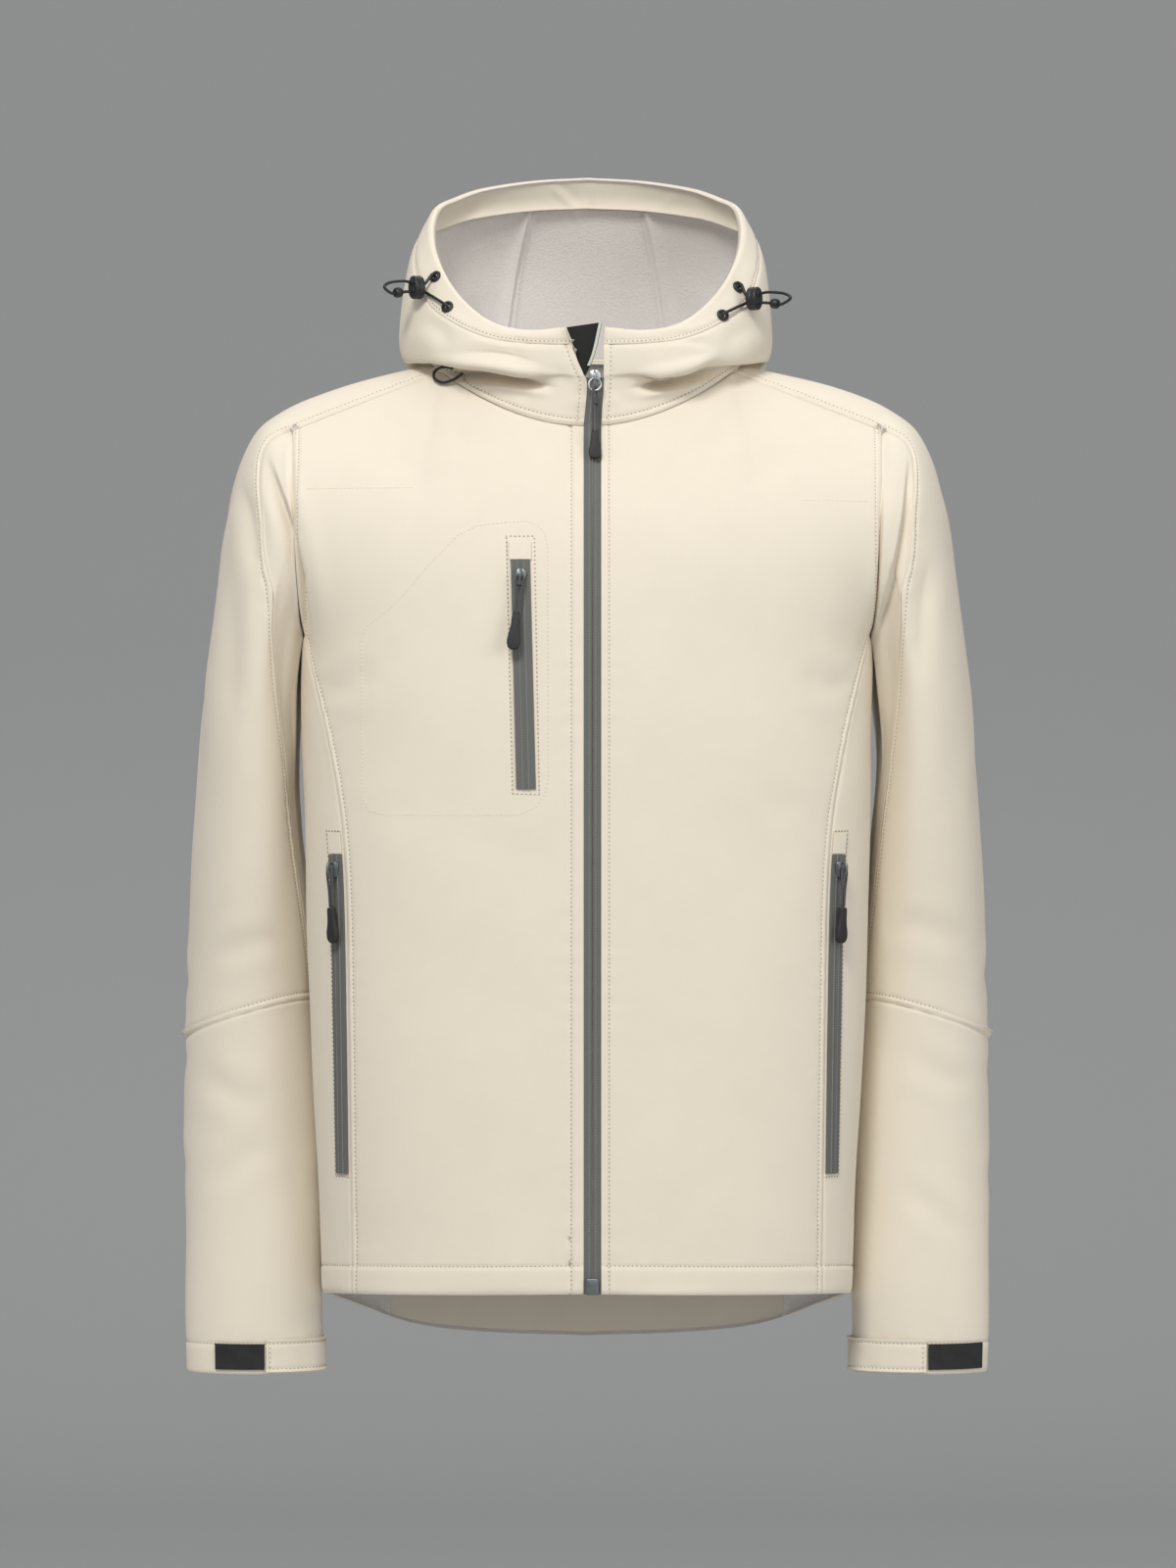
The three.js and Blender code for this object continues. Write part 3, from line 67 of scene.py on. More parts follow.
# Driving dimensions of the garment, in millimetres. Left is the wearer's (+X), the front faces -Y.
# FULLNESS is how square an oval is: 2 is an ellipse. ZIP_EDGE is where each front ends at the zip.
WIDEST_Y = -12
FRONT_FULLNESS, SHOULDER_FULLNESS = 2.4, 2.5
ZIP_EDGE = {-1: 2.4, 1: 10.1}
HEM_LEVEL, HEM_BEND = -665, -430
SCOOP, SCOOP_FROM = 14, -290
NECK_Y, NECK_HALF, NECK_FRONT, NECK_BACK = -8, 115, 72, 66
NECK_FRONT_Z, NECK_RISE, NECK_SIDE_Z, NECK_BACK_Z = -41, 49, 8, 16
SADDLE_FRONT, SADDLE_BACK = 68.8, 118
ARM_Y, ARM_Z, ARM_HALF_Y, ARM_HALF_Z, ARM_FOOT, ARM_TOP, ARM_TOP_X = 4, -116, 78, 86, -58, 61, 214.5
ARMPIT_Z = ARM_Z + ARM_HALF_Z * math.sin(math.radians(ARM_FOOT))
# How finely the surfaces are divided, and the heights of the body's rows below the armpit
NECK_STEPS, ARM_STEPS, UNDERARM_STEPS, SADDLE_STEPS = 5, 10, 6, 10
LOWER_ROWS = [HEM_LEVEL, -651, -615, -568, -518, -468, -418, -368, -320, -281, -247, -216, ARMPIT_Z]
LOWER = len(LOWER_ROWS) - 1
TOP = LOWER + ARM_STEPS
SHOULDER, ELBOW, CUFF = 5, 15, 18
LOOP_STEPS = 2 * ARM_STEPS + UNDERARM_STEPS
# How the sleeve's sections tilt near the elbow: all round, outside and in front
ELBOW_TILT, ELBOW_REACH = (-3.5, -14, 8), 1.5
BRIM = 24


def hermite(a, b, slope_a, slope_b, t):
    """A smooth way from a to b with a slope at each."""
    t2, t3 = t * t, t * t * t
    return (a * (2 * t3 - 3 * t2 + 1) + slope_a * (t3 - 2 * t2 + t)
            + b * (3 * t2 - 2 * t3) + slope_b * (t3 - t2))


def through(keys, values):
    """A smooth line through values, read at a place on keys."""
    last = len(keys) - 1
    slope = []
    for i in range(last + 1):
        a, b = max(0, i - 1), min(last, i + 1)
        slope.append((values[b] - values[a]) / (keys[b] - keys[a]))

    def read(at):
        i = min(max(bisect_right(keys, at) - 1, 0), last - 1)
        h = keys[i + 1] - keys[i]
        t = min(1.0, max(0.0, (at - keys[i]) / h))
        return hermite(values[i], values[i + 1], slope[i] * h, slope[i + 1] * h, t)
    return read


class Columns:
    """A short table. Its first line names the columns, and the first column is the key."""

    def __init__(self, text):
        lines = [line.split() for line in text.strip().splitlines()]
        self.names = lines[0]
        self.rows = [[float(value) for value in line] for line in lines[1:]]
        keys = [row[0] for row in self.rows]
        for i, name in enumerate(self.names[1:], 1):
            setattr(self, name, through(keys, [row[i] for row in self.rows]))


body = Columns("""
z       half  front back full seam back_seam
-665    193   117   112  2.2  170  150
-640    194   117   112  2.2  170  150
-560    198   117   112  2.2  171  150
-470    203   118   112  2.2  172  152
-371    206   120   113  2.2  174  157
-320    207   121   114  2.35 178  163
-270    208   122   115  2.5  187  173
-227    208.5 122   115  2.6  197  186
-188.93 209   121   114  2.7  206  198
""")
hem = Columns("""
angle z
0    -663
60   -667
90   -672
115  -684
140  -704
160  -712
180  -715
""")
chest = Columns("""
up    z       front back
0     -188.93 121   114
0.25  -150    118   114
0.5   -112    111   110
0.75  -76     98    102
1     -41     80    92
""")
sleeve = Columns("""
n  mx    mz    cx  cz   cy front back inner seam back_seam
0  115   8     113 -32  -5 50    50   40    36   34
1  135   3.5   132 -37  -3 50    50   40    39   39
2  155   -1    151 -42  -1 49    50   40    42   43
3  175   -6    170 -48  1  47    49   40    47   47
4  196   -12.5 188 -54  3  46    48   40    52   52
5  214   -19.5 200 -60  4  46    46   40    55   55
6  229   -28   204 -66  4  52    54   36    51   52
7  240.5 -37   207 -72  4  58    62   30    46   48
8  249   -50   209 -79  4  64    68   22    46   50
9  257   -70   211 -90  4  71    74   12    54   58
10 264   -98   214 -108 4  77    78   6     64   68
11 270.5 -142  222 -146 6  78    80   12    79   80
12 279   -205  236 -205 9  72    77   20    119  100
13 287   -285  244 -285 16 68    74   29    144  116
14 293.5 -380  246 -380 27 60    62   40    152  126
15 297   -470  246 -470 33 54    54   46.5  162  130
16 297.5 -560  245 -560 28 46    46   50    164  132
17 296   -650  244 -650 15 36    36   49    168  134
18 294   -731  244 -731 5  26    26   49.5  170  136
""")
under_edge = Columns("""
step angle n
0    55    5
1    68    6.6
2    80    8
3    90    9
5    94    10.1
7    104   11
8    128   11.4
9    146   11.7
10   160   11.9
""")
hood = Columns("""
angle ux   uy    uz   fx   fy    fz   bx   by    bz  wx   wy  wz rx    ry  rz
5.98  12   -81   -12  12   -83   -4   12   -83.5 5   12   -84 16 13    -84 30
20    39.5 -77.5 -8   40.5 -84   -2   40.5 -86   7   40.5 -86 17 40    -84 28
35    67   -69   -3   71   -79   1    71   -82   10  69   -81 21 65    -77 33
50    89   -56   3    96   -66   4    98   -69   15  94   -68 31 86    -63 48
66    107  -39   8    117  -46   7    121  -48   23  117  -46 48 104   -42 72
85    118  -15   13.5 131  -14   10   135  -13   31  129  -13 74 114.5 -12 101
104   117  10    15   131  22    10   137  28    28  130  26  90 113   23  127
116   112  19    15   126  42    3    134  52    22  121  54  92 99    43  137
128   98   7     -4   112  16    -40  126  34    -6  107  78  84 81    59  145
154   54   6     -30  62   15    -92  74   32    -52 60   112 72 42    77  153
180   0    6     -38  0    15    -110 0    32    -68 0    122 66 0     83  156
""")


def vec(x, y, z):
    return np.array((x, y, z), float)


def lerp(a, b, t):
    return a + (b - a) * t


def clamp01(t):
    return min(1.0, max(0.0, t))


def smooth(t):
    t = np.clip(t, 0, 1)
    return t * t * (3 - 2 * t)


def mirror(p, side):
    return vec(p[0] * side, p[1], p[2])


def unit(v):
    return v / max(1e-9, np.linalg.norm(v))


def sin(angle):
    return math.sin(math.radians(angle))


def cos(angle):
    return math.cos(math.radians(angle))


# The body's surface, on the left side

def neck_point(angle):
    """A point of the neck seam. 0 is centre front, 180 centre back."""
    s, c = sin(angle), cos(angle)
    z = NECK_FRONT_Z + NECK_RISE * s * s if c > 0 else NECK_BACK_Z - (NECK_BACK_Z - NECK_SIDE_Z) * s * s
    return vec(NECK_HALF * s, NECK_Y - c * (NECK_FRONT if c > 0 else NECK_BACK), z)


def ring_point(level, angle):
    """A point of the oval at a level below the armpit. 0 is centre front, 180 centre back."""
    s, c = sin(angle), cos(angle)
    n = FRONT_FULLNESS if c > 0 else body.full(level)
    depth = body.front(level) + WIDEST_Y if c > 0 else body.back(level) - WIDEST_Y
    x = body.half(level) * max(0.0, s) ** (2 / n)
    y = WIDEST_Y - math.copysign(depth * abs(c) ** (2 / n), c)
    drop = clamp01((HEM_BEND - level) / (HEM_BEND - HEM_LEVEL)) ** 1.5
    return vec(x, y, level + (hem.z(angle) - HEM_LEVEL) * drop)


def seam_angle(x, half, n):
    """The angle at which an oval of this half width and fullness reaches x."""
    return math.degrees(math.asin(min(1, x / half) ** (n / 2)))


def front_seam(level):
    return seam_angle(body.seam(level), body.half(level), FRONT_FULLNESS)


def back_seam(level):
    return 180 - seam_angle(body.back_seam(level), body.half(level), body.full(level))


def armhole_point(up, back):
    """The armhole from its foot at the princess seam (0) to the saddle seam (1)."""
    angle = lerp(ARM_FOOT, ARM_TOP, up)
    foot = ring_point(ARMPIT_Z, back_seam(ARMPIT_Z) if back else front_seam(ARMPIT_Z))
    sign = 1 if back else -1
    y = ARM_Y + sign * ARM_HALF_Y * cos(angle)
    start = ARM_Y + sign * ARM_HALF_Y * cos(ARM_FOOT)
    x = lerp(foot[0], ARM_TOP_X, up ** 0.6)
    return vec(x, y + (foot[1] - start) * (1 - up) ** 2, ARM_Z + ARM_HALF_Z * sin(angle))


def chest_point(across, up, back, start):
    """A point between the centre and the armhole, from the armpit (0) up to the shoulder (1)."""
    edge = armhole_point(up, back)
    middle = WIDEST_Y * (1 - up)
    n = lerp(body.full(ARMPIT_Z), SHOULDER_FULLNESS, up) if back else FRONT_FULLNESS
    depth = chest.back(up) - middle if back else chest.front(up) + middle
    last = math.acos((abs(edge[1] - middle) / depth) ** (n / 2))
    half = edge[0] / math.sin(last) ** (2 / n)
    angle = lerp(math.asin((start / half) ** (n / 2)), last, across)
    y = middle + (1 if back else -1) * depth * math.cos(angle) ** (2 / n)
    return vec(half * math.sin(angle) ** (2 / n), y, lerp(chest.z(up), edge[2], across * across))


def top_edge(across, back, start):
    """Half of a front's or back's top edge is the neck seam, the other half the saddle seam."""
    centre = 180 if back else math.degrees(math.asin(start / NECK_HALF))
    corner = SADDLE_BACK if back else SADDLE_FRONT
    if across <= 0.5:
        return neck_point(lerp(centre, corner, across * 2))
    return lerp(neck_point(corner), armhole_point(1, back), across * 2 - 1)


def level_of(row):
    """The height of a row below the armpit."""
    low = int(row)
    return lerp(LOWER_ROWS[low], LOWER_ROWS[min(LOWER, low + 1)], row - low)


def panel_point(across, row, back, start):
    """A point of a front or of the back, by its share across and its row."""
    if row <= LOWER:
        level = level_of(row)
        first = seam_angle(start, body.half(level), body.full(level) if back else FRONT_FULLNESS)
        if back:
            return ring_point(level, lerp(180 - first, back_seam(level), across))
        return ring_point(level, lerp(first, front_seam(level), across))
    up = (row - LOWER) / ARM_STEPS
    shift = top_edge(across, back, start) - chest_point(across, 1, back, start)
    return chest_point(across, up, back, start) + shift * up ** 3


def front_point(across, row, side):
    return panel_point(across, row, False, ZIP_EDGE[side])


def back_point(across, row):
    return panel_point(across, row, True, 0)


def side_point(across, row):
    """A point of the side panel, which is scooped out under the arm."""
    level = level_of(row)
    p = ring_point(level, lerp(front_seam(level), back_seam(level), across))
    p[2] -= math.sin(math.pi * across) * SCOOP * clamp01((level - SCOOP_FROM) / (ARMPIT_Z - SCOOP_FROM)) ** 2
    return p


# The sleeve's surface, on the left side

def section_point(angle, n):
    """A point of a sleeve section. 0 is the outermost line, 90 the front, 180 the inside."""
    s, c = sin(angle), cos(angle)
    centre = vec(sleeve.cx(n), sleeve.cy(n), sleeve.cz(n))
    out = vec(sleeve.mx(n), centre[1], sleeve.mz(n)) - centre
    if c < 0:
        out = unit(out) * sleeve.inner(n)
    p = centre + out * c
    p[1] -= s * (sleeve.front(n) if s > 0 else sleeve.back(n))
    near = clamp01(1 - abs(n - ELBOW) / ELBOW_REACH)
    level, outer, fore = ELBOW_TILT
    p[2] += (level + outer * c + fore * s) * near * near * (3 - 2 * near)
    return p


def sleeve_seam(n, back):
    """The upper sleeve's front or back seam: along the saddle first, then down the sleeve."""
    if n <= SHOULDER:
        return top_edge(0.5 + n / SHOULDER / 2, back, 0)
    angle = -sleeve.back_seam(n) if back else sleeve.seam(n)
    own = -sleeve.back_seam(SHOULDER) if back else sleeve.seam(SHOULDER)
    shift = armhole_point(1, back) - section_point(own, SHOULDER)
    return section_point(angle, n) + shift * clamp01((SHOULDER + 3 - n) / 3) ** 2


def upper_point(across, n):
    """Upper sleeve: across from the back seam (-1) to the front seam (1)."""
    share, back = abs(across), across < 0
    seam = -sleeve.back_seam(n) if back else sleeve.seam(n)
    p = section_point(seam * share, n)
    p += (sleeve_seam(n, back) - section_point(seam, n)) * share ** 2
    if n < 2.5:
        own = -sleeve.back_seam(0) if back else sleeve.seam(0)
        at_neck = section_point(own * share, 0)
        at_neck += (sleeve_seam(0, back) - section_point(own, 0)) * share ** 2
        angle = lerp(SADDLE_BACK, SADDLE_FRONT, (across + 1) / 2)
        p += (neck_point(angle) - at_neck) * (1 - n / 2.5) ** 2
    return p


def armhole_loop(step):
    """The armhole all round, by step: down its front, under the arm and up its back."""
    if step <= ARM_STEPS:
        return armhole_point(1 - step / ARM_STEPS, False)
    if step <= ARM_STEPS + UNDERARM_STEPS:
        return side_point((step - ARM_STEPS) / UNDERARM_STEPS, LOWER)
    return armhole_point((step - ARM_STEPS - UNDERARM_STEPS) / ARM_STEPS, True)


def under_start(step):
    """The sleeve's angle and section where the under sleeve starts at the armhole."""
    if step <= ARM_STEPS:
        return under_edge.angle(step), under_edge.n(step)
    if step <= ARM_STEPS + UNDERARM_STEPS:
        t = (step - ARM_STEPS) / UNDERARM_STEPS
        return lerp(160, 200, t), 11.9 + 0.2 * t * (1 - t)
    angle, n = under_start(LOOP_STEPS - step)
    return 360 - angle, n


def under_end(step):
    """The sleeve's angle and section where the under sleeve ends."""
    if step <= ARM_STEPS:
        return sleeve.seam(SHOULDER + step), SHOULDER + step
    if step <= ARM_STEPS + UNDERARM_STEPS:
        t = (step - ARM_STEPS) / UNDERARM_STEPS
        return lerp(sleeve.seam(ELBOW), 360 - sleeve.back_seam(ELBOW), t), ELBOW
    n = SHOULDER + LOOP_STEPS - step
    return 360 - sleeve.back_seam(n), n


def under_point(step, down):
    """Under sleeve: by the step round the armhole, from it (0) to the upper sleeve or elbow (1)."""
    (a, a_n), (b, b_n) = under_start(step), under_end(step)
    p = section_point(lerp(a, b, down), lerp(a_n, b_n, down))
    p += (armhole_loop(step) - section_point(a, a_n)) * (1 - down) ** 4
    if step < ARM_STEPS or step > ARM_STEPS + UNDERARM_STEPS:
        p += (sleeve_seam(b_n, step > ARM_STEPS) - section_point(b, b_n)) * down * down
    return p


# The hood's surface, on the left side

# Half the width of the back and the fronts at the shoulder, by which places on them are sought
HALF_BACK = 214
# The hood hangs free up to this neck angle, and lies fully on the back this many degrees on
HANGS_FROM, HANGS_OVER = 116, 12


def over_back(x, z, lift):
    """The back's surface over a place, for what hangs on it, found by steps towards the place."""
    across = clamp01(abs(x) / HALF_BACK)
    row = lerp(LOWER, TOP, clamp01((z - ARMPIT_Z) / 180))
    for _ in range(24):
        p = back_point(across, row)
        across = clamp01(across + (abs(x) - p[0]) / HALF_BACK * 0.8)
        row = min(TOP, max(LOWER, row + (z - p[2]) / 20 * 0.7))
    return vec(x, back_point(across, row)[1] + lift, z)


@lru_cache(maxsize=None)
def hood_lines(angle, side):
    """Lines round the hood at a neck angle: neck, under the overhang, fold, belly, above it, opening."""
    lines = [neck_point(angle)]
    for name in "ufbwr":
        lines.append(vec(*(getattr(hood, name + axis)(angle) for axis in "xyz")))
    if side < 0 and angle < 20:
        spread = (20 - angle) / 14
        for p, shift in zip(lines[1:], (9, 7, 4, 1, -2)):
            p[0] -= spread * shift
    hang = float(smooth((angle - HANGS_FROM) / HANGS_OVER))
    if hang > 0:
        for name, p in zip("ufb", lines[1:4]):
            laid = over_back(p[0], min(p[2], 6), p[1])
            p[1] = lerp(getattr(hood, name + "y")(min(angle, HANGS_FROM)), laid[1], hang)
    return lines


def hood_point(angle, at, side):
    """A point of the hood by the line it has reached, from the neck (0) to the opening (5)."""
    p = hood_lines(angle, side)
    i = min(4, int(at))
    t = at - i
    m0 = (p[i + 1] - p[max(0, i - 1)]) * (1 if i == 0 else 0.5)
    m1 = (p[min(5, i + 2)] - p[i]) * (1 if i == 4 else 0.5)
    return hermite(p[i], p[i + 1], m0, m1, t)


def brim_start(angle, side):
    """The line, as a share, at which the hood's brim starts."""
    lines = hood_lines(angle, side)
    return 5 - min(0.9, BRIM / np.linalg.norm(lines[5] - lines[4]))


def hood_angle(step, side):
    """The neck angle at a step along the hood's seam, from the zip to centre back."""
    first = math.degrees(math.asin(ZIP_EDGE[side] / NECK_HALF))
    if step <= NECK_STEPS:
        return lerp(first, SADDLE_FRONT, step / NECK_STEPS)
    past = step - NECK_STEPS
    if past <= SADDLE_STEPS:
        return lerp(SADDLE_FRONT, SADDLE_BACK, past / SADDLE_STEPS)
    return lerp(SADDLE_BACK, 180, (past - SADDLE_STEPS) / NECK_STEPS)


HOOD_STEPS = 2 * NECK_STEPS + SADDLE_STEPS
HOOD_SEAM = HOOD_STEPS - 2


# Folds and creases, as they lie in the cloth. x and z are millimetres seen from the face's own side.

# A fold shows on cloth that faces its side by more than the first, fully from both together
FACING_FROM, FACING_OVER = 0.1, 0.35
# A fold's taper at its ends, and how far it runs out past them
TAPER, RUN_OUT = 2.6, 12
# The ridges beside a trough as a share of its depth. The step is this sharp and this much wider.
RIDGE, STEP_SHARP, STEP_WIDE = 0.42, 1.1, 2.5


class Fold:
    """A soft trough with its ridges. step makes one side stand over the other."""

    def __init__(self, face, x0, z0, x1, z1, bend, depth, width, step=0.0):
        self.face, self.bend, self.depth, self.width, self.step = face, bend, depth, width, step
        self.start, self.end = np.array((x0, z0), float), np.array((x1, z1), float)

    def height(self, points, normals):
        axis, sign = {"front": (0, -1), "back": (0, 1), "left": (1, 1), "right": (1, -1)}[self.face]
        facing = smooth((sign * normals[..., 1 - axis] - FACING_FROM) / FACING_OVER)
        q = points[..., (axis, 2)] - self.start
        line = self.end - self.start
        length = np.linalg.norm(line)
        line = line / length
        along = q @ line / length
        across = q @ np.array((-line[1], line[0])) - self.bend * np.sin(np.pi * np.clip(along, 0, 1))
        beyond = np.maximum(0, np.maximum(-along, along - 1)) * length
        taper = smooth(np.minimum(along, 1 - along) * TAPER + 0.05) * np.exp(-(beyond / RUN_OUT) ** 2)
        w = self.width
        trough = -np.exp(-(across / w) ** 2) + RIDGE * np.exp(-((np.abs(across) - 2 * w) / w) ** 2)
        overlap = np.tanh(across / STEP_SHARP) * np.exp(-np.abs(across) / (STEP_WIDE * w))
        return facing * taper * (self.depth * trough + self.step * overlap)


FOLD_TABLE = """
face  x0   z0   x1   z1   bend depth width step
front -233 -58  -200 -205 9    2.4   6     6.5
front 234  -60  206  -205 3    2.2   6     -5.5
front -253 -74  -238 -152 3    2.6   7     0.8
front -262 -128 -261 -275 4    2.0   8     0
front 248  -130 240  -230 -3   2.4   7     -0.8
front 262  -200 268  -330 3    0.8   10    0
front -228 -175 -206 -292 -4   1.5   7     0
front 226  -190 208  -300 4    1.2   7     0
front -278 -430 -216 -412 5    1.1   8     0
front 282  -420 218  -400 -5   1.0   9     0
front -290 -505 -228 -535 -5   1.1   9     0
front 288  -520 232  -492 5    0.9   8     0
front -280 -600 -225 -560 5    0.9   9     0
front 280  -640 226  -590 -4   1.0   8     0
front -196 -236 -150 -208 -6   1.4   9     0
front 192  -232 152  -214 5    1.3   9     0
front -168 -330 -120 -306 -5   0.5   11    0
front 166  -322 118  -300 5    0.5   10    0
front -150 -60  -110 -95  5    0.6   10    0
front 152  -58  108  -98  -5   0.6   10    0
front -100 -30  -70  -60  -6   0.8   8     0
front 104  -32  76   -62  6    0.7   8     0
front -60  -640 -20  -560 4    0.4   12    0
front 50   -640 90   -570 4    0.4   12    0
front -122 2    -20  -13  2    9.5   3.4   6.5
front 27   -13  100  5    -3   10    3.6   6.5
front -96  12   -34  4    4    1.6   4     0.8
front -24  4    -12  -18  2    2.6   4     0
front 12   -6   37   -26  -3   3.2   5     0.8
front 52   23   96   15   3    1.5   3.4   0.6
front -60  24   -50  6    3    0.9   4     0
front -60  -8   -40  -20  3    0.8   5     0
front 66   -6   50   -18  -3   0.8   5     0
front -126 40   -96  14   4    1.2   6     0
front 128  34   98   14   -4   1.1   6     0
back  -28  152  -6   127  2    1.7   2.2   1.2
back  4.5  154  5.5  127  0    1.1   1.0   0
back  59   130  69   143  2    1.0   2.6   0
back  -96  118  -70  128  -2   0.8   4     0
back  -206 -66  -196 -190 -4   1.6   8     2.0
back  206  -70  195  -196 4    1.5   8     -2.0
back  -150 -170 -60  -215 8    1.4   12    0
back  152  -176 70   -228 -8   1.3   12    0
back  -110 -300 -40  -330 6    1.0   13    0
back  120  -312 44   -345 -7   1.1   12    0
back  -90  -420 -10  -440 5    0.8   14    0
back  84   -452 20   -470 -5   0.7   13    0
back  -140 -560 -120 -690 5    0.9   12    0
back  128  -540 112  -690 -5   0.9   13    0
back  -60  -600 -50  -700 4    0.5   12    0
back  -250 -330 -214 -300 5    1.2   9     0
back  252  -340 216  -306 -5   1.1   9     0
back  -272 -452 -222 -430 6    1.4   8     0
back  270  -462 224  -436 -6   1.3   8     0
back  -268 -520 -222 -545 -5   1.1   9     0
back  272  -512 224  -540 5    1.2   9     0
back  -60  -40  -44  70   6    1.1   11    0
back  54   -30  40   76   -5   1.0   11    0
back  -96  20   -84  90   4    1.2   9     0
back  92   10   86   84   -4   1.1   9     0
left  20   -210 -10  -330 6    1.0   12    0
left  52   -430 10   -455 -4   1.3   9     0
left  58   -480 16   -520 5    1.2   9     0
left  44   -560 8    -600 4    0.9   9     0
left  -20  -70  30   -130 6    0.9   12    0
left  60   -20  88   -90  5    1.2   10    0
right 18   -200 -12  -318 -6   1.0   12    0
right 50   -424 12   -452 4    1.2   9     0
right 60   -490 14   -515 -5   1.3   9     0
right 42   -570 10   -596 -4   0.9   9     0
right -22  -74  28   -126 -6   0.9   12    0
right 62   -24  86   -96  -5   1.1   10    0
"""


def folds():
    """The folds that the table lists below its heading."""
    lines = FOLD_TABLE.strip().splitlines()[1:]
    return [Fold(face, *map(float, rest)) for face, *rest in (line.split() for line in lines)]


FOLDS = folds()
# Broad and finer unevenness of the cloth, in millimetres
BROAD, FINER = 0.8, 0.5
# On the sleeves, relief fades out over this much cloth above the cuffs' edges
CALM_AT_CUFF, CUFF_Z, ON_SLEEVE = 50, -738, 200
# Stiff places that stay flat: both ends of each zip as x, z, and how far the flatness reaches
FLAT_SPOTS = [(-47.5, -128, -43.4, -304, 16), (-178, -335, -166, -585, 12), (178, -335, 166, -585, 12),
              (6, -660, 6, 0, 12)]
FLAT_FADE = 35


def relief(points, normals):
    """How far the cloth stands out of its plain form, in millimetres."""
    x, y, z = points[..., 0], points[..., 1], points[..., 2]
    height = BROAD * np.sin(x / 41 + z / 67 + 1.3) * np.cos(z / 39 - x / 71 + y / 53)
    height += FINER * np.sin(z / 23 - y / 31 + 0.7) * np.sin(x / 29 + y / 43 + z / 90)
    for fold in FOLDS:
        height = height + fold.height(points, normals)
    height = height * np.where(np.abs(x) > ON_SLEEVE, smooth((z - CUFF_Z) / CALM_AT_CUFF), 1)
    front = smooth((-normals[..., 1] + 0.2) / 0.5)
    for x0, z0, x1, z1, reach in FLAT_SPOTS:
        line = np.array((x1 - x0, z1 - z0), float)
        q = np.stack((x - x0, z - z0), -1)
        t = np.clip(q @ line / (line @ line), 0, 1)
        gap = np.linalg.norm(q - t[..., None] * line, axis=-1)
        height = height * (1 - front * (1 - smooth((gap - reach) / FLAT_FADE)))
    return height


# Cloth panels

# Thicknesses, and for each finish of an edge the distances from it of the lines that shape it
CLOTH, TAPE = 1.8, 1.2
EDGES = ("left", "right", "low", "high")
SEAM = (0, 0.5, 1.1, 1.9, 3.0, 4.2, 5.0, 5.8, 7.4, 9.6)
PLAIN = (0, 0.5, 1.1, 1.9, 3.2, 5.0)
HEM_EDGE = (0, 0.5, 1.1, 1.9, 3.2, 6.0, 11, 16, 19.4, 20.4, 21.4, 23, 26)
CUFF_EDGE = (0, 0.5, 1.1, 1.9, 3.2, 6.0, 11, 17, 21.4, 22.6, 23.8, 25.4, 28)
TAPE_EDGE = (0, 0.25, 0.6, 1.2, 1.8)
BRIM_EDGE = (0, 0.5, 1.1, 1.9, 2.6, 3.4, 5)
# Where stitches run, from the edge that they follow
TOPSTITCH, HEM_STITCH, CUFF_STITCH, BRIM_STITCH = 5.0, 20.4, 22.6, 2.6
ZIP_STITCH = {-1: 8.8, 1: 5.8}
# Folds fade out this near an edge, so that neighbours stay together
FOLDS_END = 6
# At a joined edge: the seam allowance inside, and the dip of the seam, each with its reach
ALLOWANCE, ALLOWANCE_REACH = 2.6, 5
DIP, DIP_REACH = 1.0, 1.6
# Along stitches: the rise between them and the edge, the groove that they pull, and the cloth's pucker
RISE, RISE_REACH = 0.45, 1.5
GROOVE, GROOVE_REACH = 0.6, 0.8
PUCKER, PUCKER_REACH = 0.2, 6


def refine(grid, times, axis, closed=False):
    """More points between a grid's own, on a smooth line through them."""
    a = np.moveaxis(grid, axis, 0)
    if closed:
        pad = np.concatenate((a[-2:-1], a, a[1:2]))
    else:
        pad = np.concatenate((2 * a[:1] - a[1:2], a, 2 * a[-1:] - a[-2:-1]))
    p0, p1, p2, p3 = pad[:-3], pad[1:-2], pad[2:-1], pad[3:]
    parts = []
    for k in range(times):
        t = k / times
        parts.append(0.5 * (2 * p1 + (p2 - p0) * t + (2 * p0 - 5 * p1 + 4 * p2 - p3) * t ** 2
                            + (3 * p1 - p0 - 3 * p2 + p3) * t ** 3))
    fine = np.stack(parts, 1).reshape(-1, *a.shape[1:])
    return np.moveaxis(np.concatenate((fine, a[-1:])), 0, axis)


def lengths(grid, axis):
    """How far each point lies along its column (0) or row (1)."""
    steps = np.linalg.norm(np.diff(grid, axis=axis), axis=-1)
    total = np.cumsum(steps, axis=axis)
    start = np.zeros_like(np.take(total, [0], axis=axis))
    return np.concatenate((start, total), axis=axis)


def respace(grid, axis, first, last, step):
    """The grid with its lines at set distances from both edges and evenly spaced between."""
    a = np.moveaxis(grid, axis, 0)
    along = np.moveaxis(lengths(grid, axis), axis, 0)
    count = max(2, math.ceil((along[-1].max() - first[-1] - last[-1]) / step))
    out = []
    for j in range(a.shape[1]):
        total = along[-1, j]
        scale = min(1, total / (1.4 * (first[-1] + last[-1]) + 1e-6))
        low, high = np.array(first) * scale, total - np.array(last)[::-1] * scale
        middle = np.linspace(low[-1], high[0], count + 1)[1:-1]
        at = np.concatenate((low, middle, high))
        out.append(np.stack([np.interp(at, along[:, j], a[:, j, k]) for k in range(3)], -1))
    return np.moveaxis(np.stack(out, 1), 0, axis)


